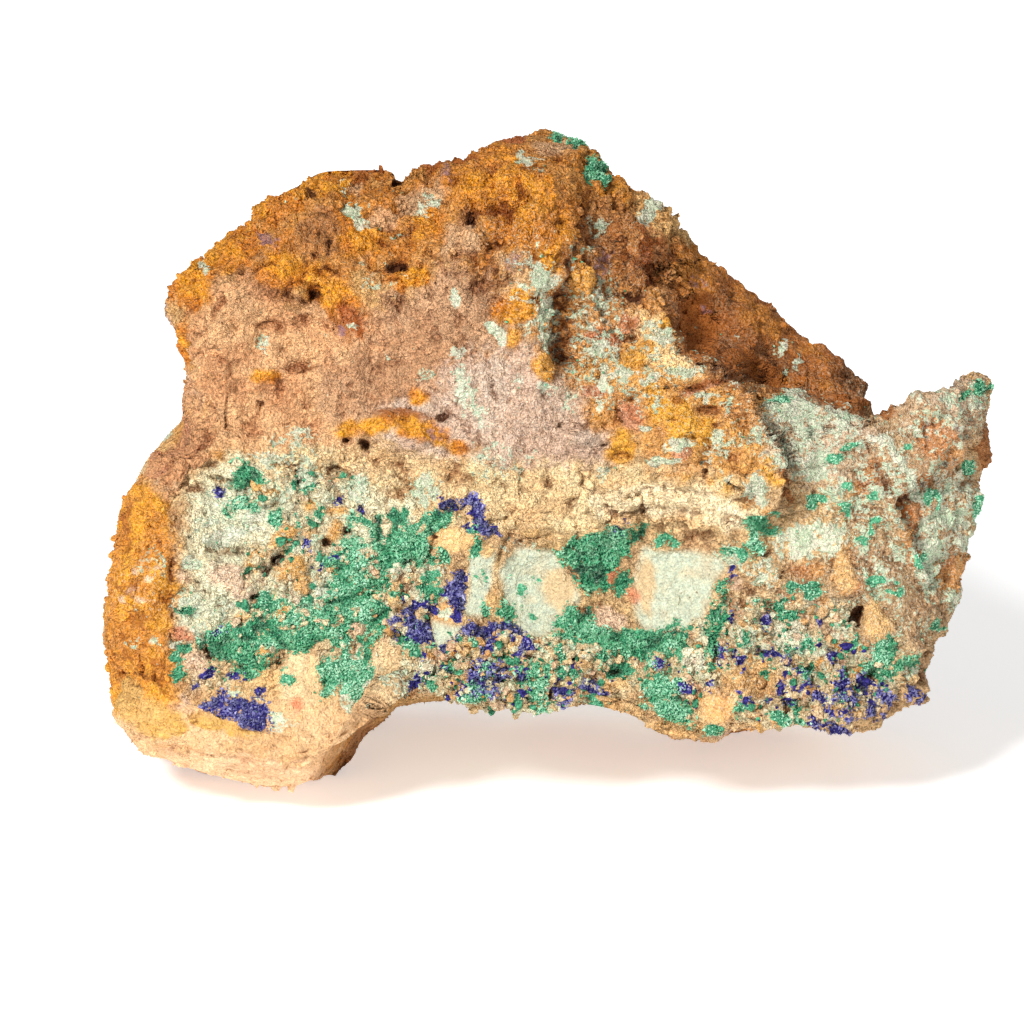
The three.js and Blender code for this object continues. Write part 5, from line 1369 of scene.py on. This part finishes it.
class Sheet:
    """The node sheet of one material."""

    def __init__(self, name: str) -> None:
        self.material = bpy.data.materials.new(name)
        self.material.use_nodes = True
        self.tree = self.material.node_tree
        self.tree.nodes.clear()

    def node(self, kind: str, settings: dict | None = None, sockets: dict | None = None) -> bpy.types.Node:
        """Adds a node.

        Args:
            kind: its type without the ShaderNode in front.
            settings: its own settings, with a ramp's stops as pairs of place and colour under "stops".
            sockets: a value or a link for each input, by name or number.

        Returns:
            The node.
        """
        node = self.tree.nodes.new("ShaderNode" + kind)
        for key, setting in (settings or {}).items():
            if key == "stops":
                ramp = node.color_ramp.elements
                for n, (place, colour) in enumerate(setting):
                    stop = ramp[n] if n < 2 else ramp.new(place)
                    stop.position, stop.color = place, (*colour, 1)
            else:
                setattr(node, key, setting)
        for key, value in (sockets or {}).items():
            value = value.socket if isinstance(value, Value) else value
            if isinstance(value, bpy.types.NodeSocket):
                self.tree.links.new(value, node.inputs[key])
            else:
                node.inputs[key].default_value = value
        return node

    def maths(self, operation: str, *terms: "Value | float", clamp: bool = False) -> Value:
        """One Math node over its terms."""
        settings = {"operation": operation, "use_clamp": clamp}
        return Value(self, self.node("Math", settings, dict(enumerate(terms))).outputs[0])

    def field(self, name: str) -> Value:
        """A number that the mesh carries."""
        return Value(self, self.node("Attribute", {"attribute_name": name}).outputs["Fac"])

    def colour_field(self, name: str) -> bpy.types.NodeSocket:
        """A colour that the mesh carries."""
        return self.node("Attribute", {"attribute_name": name}).outputs["Color"]

    def place(self) -> bpy.types.NodeSocket:
        """The object's own coordinates, in metres."""
        return self.node("TexCoord").outputs["Object"]

    def grain(self, wave: float, detail: float = 2, roughness: float = 0.55) -> Value:
        """Noise with features of a wave in millimetres, about 0.5 on the whole."""
        sockets = {"Vector": self.place(), "Scale": 1 / (wave * MM), "Detail": detail, "Roughness": roughness}
        return Value(self, self.node("TexNoise", {}, sockets).outputs["Fac"])

    def creased(self, wave: float, detail: float = 2) -> Value:
        """Swollen noise parted by sharp creases: twice the distance of noise from a half."""
        return (self.grain(wave, detail) * 2 - 1).maths("ABSOLUTE")

    def sharpened(self, mask: Value, by: Value, raggedness: float, crispness: float) -> Value:
        """A mask whose edge is torn by noise: ((mask - 0.5) + raggedness (noise - 0.5)) crispness + 0.5."""
        return ((mask - 0.5 + (by - 0.5) * raggedness) * crispness + 0.5).held()

    def blend(self, share: "Value | float", first, second, how: str = "MIX") -> bpy.types.NodeSocket:
        """A Mix node over two colours."""
        first, second = (tuple((*c, 1)) if isinstance(c, np.ndarray) else c for c in (first, second))
        settings = {"data_type": "RGBA", "blend_type": how}
        return self.node("Mix", settings, {0: share, 6: first, 7: second}).outputs[2]

    def tinted(self, share: "Value | float", colour, tint: Array) -> bpy.types.NodeSocket:
        """A colour multiplied by a tint over a share of it."""
        return self.blend(share, colour, self.blend(1.0, colour, tint, "MULTIPLY"))

    def grey(self, value: Value) -> bpy.types.NodeSocket:
        """A number as a grey."""
        return self.node("CombineColor", {}, {0: value, 1: value, 2: value}).outputs[0]

    def bumped(self, height: Value, depth: float, strength: float = 1.0) -> bpy.types.NodeSocket:
        """A normal bent by a height from 0 to 1, that stands for a depth in millimetres."""
        sockets = {"Height": height, "Distance": depth * MM, "Strength": strength}
        return self.node("Bump", {}, sockets).outputs["Normal"]

    def finished(self, colour, normal, roughness: "Value | float", **fixed: float) -> bpy.types.Material:
        """Wires the shader and hands back the material."""
        sockets = {"Base Color": colour, "Roughness": roughness, "Normal": normal}
        sockets.update({key.replace("_", " "): value for key, value in fixed.items()})
        shader = self.node("BsdfPrincipled", {}, sockets)
        self.node("OutputMaterial", {}, {"Surface": shader.outputs[0]})
        return self.material


@dataclass(frozen=True)
class GossanFinish:
    """Earthy iron-stained stone, with films of malachite and azurite where the mesh carries them.

    The first five colours tint the earth all over; the fifth darkens the hollows as painted shade that is
    partly a stain.
    The others are those of the rust, partly painted shadow, the lilac stains, the painted shade in the holes
    and cracks, and the minerals.
    """

    warm: str = "f2cf98"
    grit: str = "f0d4a8"
    salt: str = "e6e4d0"
    pepper: str = "80603e"
    hollow_stain_and_shade: str = "9a6a44"
    rust: str = "8a4515"
    rust_and_shadow_pale: str = "b06a2c"
    hole_and_crack_shade: str = "4a2611"
    mint_light: str = "ebe4ce"
    mint_deep: str = "b6d0ae"
    green_light: str = "62b98c"
    green_deep: str = "0e5238"
    azure_light: str = "463f98"
    azure_deep: str = "140e4c"
    lilac: str = "8f6c76"
    roughness: float = 0.9
    grain_height: float = 0.96  # how deep the shader's relief is, in millimetres

    def material(self) -> bpy.types.Material:
        """Earth colour, mottled and stained, then the films from palest to darkest."""
        sheet = Sheet("gossan_finish")
        # The earth, shaded by the grains' tones and by creases of three sizes.
        coarse, middle, fine = sheet.grain(2.6, 3), sheet.grain(0.7, 3), sheet.grain(0.28, 2)
        tone, hollow = sheet.field("tone"), sheet.field("hollow")
        ground = sheet.colour_field("ground")
        warm = sheet.sharpened(coarse, middle, 1.2, 3)
        ground = sheet.tinted(warm * 0.15, ground, linear(self.warm))
        crease = sheet.creased(1.5, 2)
        wrinkle, grit = sheet.creased(0.62, 2), sheet.creased(0.3, 1)
        detail = 0.5 * middle + 0.3 * (crease * 4.5).held() + 0.44 * (wrinkle * 3.6).held() - 0.86
        detail = detail + 0.44 * (grit * 3).held() + 0.9 * sheet.grain(0.14, 1) + 0.5 * fine - 1.03
        shade = 1.42 + 0.4 * tone + detail * (0.6 + 0.5 * sheet.field("rough"))
        ground = sheet.blend(1.0, ground, sheet.grey(shade), "MULTIPLY")
        # Pale and dark specks, painted shade in the hollows (partly a brown stain gathered there), and the
        # brown stains, of which the rust is partly painted shadow.
        pale = sheet.sharpened(fine, middle, 0.6, 7) * 0.12
        ground = sheet.blend(pale, ground, linear(self.grit))
        speck, salted = sheet.grain(0.36, 1), sheet.field("salted")
        ground = sheet.blend(((speck - 0.56) * 9).held() * salted, ground, linear(self.salt))
        pepper = ((0.44 - speck) * 9).held() * (0.14 + 0.4 * salted)
        ground = sheet.tinted(pepper, ground, linear(self.pepper))
        # Painted shade in the hollows, partly a brown stain gathered there.
        hollow_stain_and_shade = (hollow - crease * 1.3 - wrinkle * 0.5 - 0.05).held()
        ground = sheet.tinted(hollow_stain_and_shade, ground, linear(self.hollow_stain_and_shade))
        # Rust, and in the same browns painted shadow along the crown's gullies, the knob's right edge, the
        # wing's V and the horn's right side.
        rust = sheet.sharpened(sheet.field("rust"), middle, 1.4, 2.5) * 0.8
        ground = sheet.blend(rust, ground, sheet.blend(fine, linear(self.rust), linear(self.rust_and_shadow_pale)))
        lilac = sheet.sharpened(sheet.field("lilac"), middle, 1.6, 3) * 0.75
        ground = sheet.blend(lilac, ground, linear(self.lilac))
        # The films and crusts of copper minerals, and painted shade in the open holes and the grooves.
        mint = sheet.sharpened(sheet.field("mint"), 0.3 * coarse + 0.5 * middle + 0.2 * fine, 3.2, 6)
        depth = sheet.sharpened(coarse, fine, 1.5, 2)
        film = sheet.blend(depth, linear(self.mint_light), linear(self.mint_deep))
        shade = 0.72 + 0.3 * (wrinkle * 3).held() + 0.26 * (grit * 3).held()
        film = sheet.blend(1.0, film, sheet.grey(shade), "MULTIPLY")
        ground = sheet.blend(mint * 0.88, ground, film)
        green = sheet.sharpened(sheet.field("green"), middle, 1.0, 5)
        share = (sheet.sharpened(middle, fine, 1.4, 2.2) * 0.7 + sheet.field("paleness") * 0.6 - 0.15).held()
        crust = sheet.blend(share, linear(self.green_deep), linear(self.green_light))
        ground = sheet.blend(green, ground, crust)
        azure = sheet.sharpened(sheet.field("azure"), middle, 0.9, 5)
        light = sheet.sharpened(fine, middle, 1.2, 2)
        blue = sheet.blend(light, linear(self.azure_deep), linear(self.azure_light))
        ground = sheet.blend(azure, ground, blue)
        dark = sheet.sharpened(sheet.field("dark"), middle, 2.2, 3) * 0.9
        ground = sheet.blend(dark, ground, linear(self.hole_and_crack_shade))
        height = 1.1 * crease + 0.6 * wrinkle + 0.2 * middle + 0.12 * grit
        height = height * (sheet.field("rough") * 0.7 + 0.3).held()
        normal = sheet.bumped(height, self.grain_height, 1.0)
        roughness = self.roughness - 0.15 * (green + azure).held()
        return sheet.finished(ground, normal, roughness, IOR=1.5, Specular_IOR_Level=0.2)


@dataclass(frozen=True)
class CrystalFinish:
    """Small glassy crystals: each has its own tone between a deep and a light colour."""

    name: str
    deep: str
    middle: str
    light: str
    roughness: float = 0.35
    paleness: float = 0.15
    dust: str = "cfd8b8"

    def material(self) -> bpy.types.Material:
        """A ramp by the crystal's tone, dusted by fine noise."""
        sheet = Sheet(self.name)
        fine = sheet.grain(0.3, 2)
        tone = sheet.field("tone") * 0.36 + sheet.field("paleness") * 0.6 + fine * 0.5
        # Painted shade: crystals that sit in the hollows are darker.
        tone = (tone - 0.7 * sheet.field("hollow") - 0.02).held()
        stops = ((0.0, linear(self.deep)), (0.5, linear(self.middle)), (1.0, linear(self.light)))
        colour = sheet.node("ValToRGB", {"stops": stops}, {0: tone}).outputs[0]
        dust = sheet.sharpened(sheet.grain(1.1, 2), fine, 1.0, 4) * self.paleness
        colour = sheet.blend(dust, colour, linear(self.dust))
        return sheet.finished(colour, sheet.bumped(fine, 0.05, 0.5), self.roughness + 0.3 * fine, IOR=1.65)


class Finish(Enum):
    """The finishes, by slot."""

    GOSSAN = GossanFinish()
    MALACHITE = CrystalFinish("malachite_finish", "0d4c34", "389f6c", "b4e4c4")
    AZURITE = CrystalFinish("azurite_finish", "080426", "262070", "8a86c4", 0.3, 0.12)

    @property
    def slot(self) -> str:
        """The slot of this finish: its name in lower case."""
        return self.name.lower()

    def put_on(self, piece: bpy.types.Object, *nodes: str) -> None:
        """Gives a piece this finish and its body, and hides the model's nodes that it stands for."""
        known = bpy.data.materials.get(self.slot + "_finish")
        piece.data.materials.append(known or self.value.material())
        self.slot
        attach(piece, "root")
        if nodes:
            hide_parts(*nodes)
        LOG.info("%s: %d triangles", piece.name, len(piece.data.polygons))


# ---- The specimen ----
@dataclass
class Stone:
    """The gossan stone itself."""

    skin: Skin

    @classmethod
    def weathered(cls) -> "Stone":
        """The stone with its relief and its minerals."""
        work = Weathering(StoneShape().skin())
        work.relief()
        work.minerals()
        return cls(work.skin)

    def build(self) -> None:
        """Makes the stone's piece."""
        skin = self.skin
        fields = {**skin.fields, "tone": np.full(len(skin.points), 0.5)}
        piece = add_piece("stone", skin.points, skin.faces, skin.grid_uv, fields, True)
        Finish.GOSSAN.put_on(piece, "matrix")


@dataclass
class Sand:
    """Grains of the stone's own earth, which lie all over it."""

    skin: Skin
    per_piece: int = 21000
    size: float = 0.115

    def build(self, rng: np.random.Generator) -> None:
        """Three pieces of grains: two over the front and one over the back."""
        skin = self.skin
        upper = smooth((skin.u - 38) / 4)
        over = 0.35 + np.minimum(skin.fields["rough"], 1.2)
        front = np.where(skin.front, 1.0, 0.0)
        grains = Growth(Ball.folded(2), jitter=0.2, tilt=1.5, sink=0.52)
        spread = {"sand_upper": front * upper, "sand_lower": front * (1 - upper), "sand_back": 1 - front}
        for name, density in spread.items():
            seats = Seats.drawn(skin, density * over, self.per_piece, rng)
            grow = self.size * (0.7 + 0.5 * seats.fields["rough"])
            sizes = grow[:, None] * rng.lognormal(0, 0.3, (self.per_piece, 3))
            Finish.GOSSAN.put_on(grains.build(name, seats, sizes, rng, rounded=True))


CRUMB_TINTS = (  # the tints that some of the crumbs take, each by the chances below its limit
    (0.1, "c08030"), (0.18, "c99c80"), (0.4, "ccd4ba"), (0.46, "8a8c70"),
)


@dataclass
class Crumbs:
    """Rounded crumbs of earth up to two millimetres across, mostly in the crumbly places."""

    skin: Skin
    count: int = 6200
    radius: float = 0.24  # the middle one, in millimetres
    least: float = 0.1
    most: float = 0.7
    pale: str = "d8c096"
    dusky: str = "b89a70"

    def build(self, rng: np.random.Generator) -> None:
        """One piece of lumpy balls."""
        skin = self.skin
        bare = 1 - np.maximum(skin.fields["green"], skin.fields["azure"]) * 0.85
        density = np.where(skin.front, 1, 0.04) * (skin.fields["crumbly"] ** 2 + 0.01) * bare
        seats = Seats.drawn(skin, density, self.count, rng)
        radius = np.clip(self.radius * rng.lognormal(0, 0.45, self.count), self.least, self.most)
        sizes = radius[:, None] * rng.uniform(0.55, 1.35, (self.count, 3))
        kind = rng.random(self.count)[:, None]
        own = np.clip((seats.fields["crumbly"] - 0.5) * 2, 0, 1)[:, None]
        dusk = (smooth((24 - seats.fields["u"]) / 4) * smooth((seats.fields["x"] + 14) / 3))[:, None]
        tint = mix(linear(self.pale), linear(self.dusky), dusk)
        tint = mix(seats.fields["ground"], tint, 0.7 * own * rng.random((self.count, 1)))
        for share, colour in CRUMB_TINTS:
            tint = mix(tint, linear(colour), np.where((kind > 0) & (kind < share), 0.55 * own, 0))
            kind = np.where(kind < share, -1, kind)
        seats.fields["ground"] = tint
        chance = rng.random(self.count)
        leafy = own[:, 0] * (chance < 0.1 + 0.08 * dusk[:, 0])
        bluish = own[:, 0] * dusk[:, 0] * (chance > 0.95)
        seats.fields["green"] = np.maximum(seats.fields["green"] * 0.35, leafy)
        seats.fields["azure"] = np.maximum(seats.fields["azure"] * 0.35, bluish)
        # The crumbs stand proud, so they take less of the painted shade of the hollows.
        seats.fields["hollow"] = seats.fields["hollow"] * 0.75
        seats.fields["mint"] = seats.fields["mint"] * rng.uniform(0, 1.8, self.count)
        crumbs = Growth(Ball.folded(4), jitter=0.34, tilt=1.0, sink=0.5)
        Finish.GOSSAN.put_on(crumbs.build("crumbs", seats, sizes, rng))


@dataclass(frozen=True)
class Habit:
    """How a mineral's crystals grow: their crusts, how many stand on a square millimetre, and their form."""

    finish: Finish
    crusts: dict
    density: float
    size: tuple  # the half sizes of a crystal along its three directions, in millimetres
    tilt: float


TUFTS = Habit(Finish.MALACHITE, MALACHITE, 22.0, (0.085, 0.11, 0.21), 0.8)
BLADES = Habit(Finish.AZURITE, AZURITE, 19.0, (0.08, 0.15, 0.25), 0.9)


@dataclass
class Crystals:
    """The druses: malachite tufts and azurite blades over their footprints, and loose ones round them."""

    skin: Skin
    loose_tufts: int = 12000
    loose_blades: int = 2200

    def crust(self, name: str, habit: Habit, rng: np.random.Generator) -> None:
        """Grows one crust's crystals where its footprint lies on the skin."""
        skin = self.skin
        cover = np.where(skin.front, skin.covers[name], 0)
        area = (skin.areas() * cover[skin.cells].mean(1)).sum()
        seats = Seats.drawn(skin, cover, int(area * habit.density), rng)
        self.grow(name, seats, habit, rng, name)

    @staticmethod
    def grow(name: str, seats: Seats, habit: Habit, rng: np.random.Generator, *nodes: str) -> None:
        """Grows a piece of crystals on their seats, smaller where the mineral is pale."""
        count = len(seats.points)
        large = rng.lognormal(0, 0.28, (count, 1)) * (1.12 - 0.3 * seats.fields["paleness"][:, None])
        sizes = large * rng.uniform(0.8, 1.2, (count, 3)) * habit.size
        growth = Growth(Ball.folded(2), jitter=0.2, tilt=habit.tilt, sink=0.3)
        habit.finish.put_on(growth.build(name + "_crystals", seats, sizes, rng), *nodes)

    def build(self, rng: np.random.Generator) -> None:
        """The crusts one by one, then the scattered crystals."""
        for habit in (TUFTS, BLADES):
            for name in habit.crusts:
                self.crust(name, habit, rng)
        skin = self.skin
        front = np.where(skin.front, 1, 0.25)
        traces = 0.05 * skin.fields["mint"] * skin.fields["crumbly"]
        green = front * np.maximum(skin.fields["green"] ** 2, traces)
        self.grow("malachite_loose", Seats.drawn(skin, green, self.loose_tufts, rng), TUFTS, rng)
        blue = front * skin.fields["azure"] ** 2
        self.grow("azurite_loose", Seats.drawn(skin, blue, self.loose_blades, rng), BLADES, rng)


@dataclass
class Studio:
    """A plain pale floor, soft lights and the camera."""

    frame_width: float = 128.0  # how wide a field the camera sees at its target, in millimetres
    away: float = 1.2  # how far the camera is from its target, in metres
    target: tuple = (0.0, 36.5, 0.0)  # the target's x, u and depth
    sensor: float = 36.0
    lit_height: float = 0.04  # the height that the lights face, in metres
    key_power: float = 62.0
    fill_power: float = 8.0
    floor_half: float = 3.0  # in metres
    floor_grey: float = 0.94
    floor_glow: float = 0.45
    sky_glow: float = 0.38

    def build(self) -> None:
        """Sets up the floor, the lights and the camera."""
        scene = bpy.context.scene
        scene.view_settings.view_transform = "Standard"
        mesh = bpy.data.meshes.new("floor")
        corners = [(x * self.floor_half, y * self.floor_half, 0) for y in (-1, 1) for x in (-1, 1)]
        mesh.from_pydata(corners, [], [(0, 1, 3, 2)])
        floor = bpy.data.objects.new("floor", mesh)
        scene.collection.objects.link(floor)
        sheet = Sheet("floor_finish")
        floor.data.materials.append(sheet.finished(
            (*[self.floor_grey] * 3, 1), sheet.bumped(sheet.grain(2), 0.001), 0.6,
            Emission_Color=(1, 1, 1, 1), Emission_Strength=self.floor_glow,
        ))
        world = bpy.data.worlds.new("studio")
        world.use_nodes = True
        sky = world.node_tree.nodes["Background"]
        sky.inputs[0].default_value, sky.inputs[1].default_value = (1, 1, 1, 1), self.sky_glow
        scene.world = world
        self.light("key", (-1.0, -1.5, 1.5), 0.5, self.key_power)
        self.light("fill", (1.4, -1.6, 0.7), 1.2, self.fill_power)
        target = upright(*np.array(self.target)) * MM
        camera = bpy.data.cameras.new("camera")
        camera.sensor_width = self.sensor
        camera.lens = self.sensor * self.away / (self.frame_width * MM)
        holder = bpy.data.objects.new("camera", camera)
        holder.location = target + self.away * np.array([0, -np.cos(LEAN), np.sin(LEAN)])
        holder.rotation_euler = (np.pi / 2 - LEAN, 0, 0)
        scene.collection.objects.link(holder)
        scene.camera = holder

    def light(self, name: str, place: tuple, size: float, power: float) -> None:
        """An area light that faces the stone."""
        lamp = bpy.data.lights.new(name, "AREA")
        lamp.size, lamp.energy = size, power
        holder = bpy.data.objects.new(name, lamp)
        x, y, z = place
        holder.location = place
        holder.rotation_euler = (np.arctan2(np.hypot(x, y), z - self.lit_height), 0, np.arctan2(x, -y))
        bpy.context.scene.collection.objects.link(holder)


def main() -> None:
    """Builds the specimen and the studio round it."""
    logging.basicConfig(level=logging.INFO, format="%(name)s: %(message)s")
    Studio().build()
    rng = np.random.default_rng(7)
    stone = Stone.weathered()
    stone.build()
    Sand(stone.skin).build(rng)
    Crumbs(stone.skin).build(rng)
    Crystals(stone.skin).build(rng)


if __name__ == "__main__":
    main()
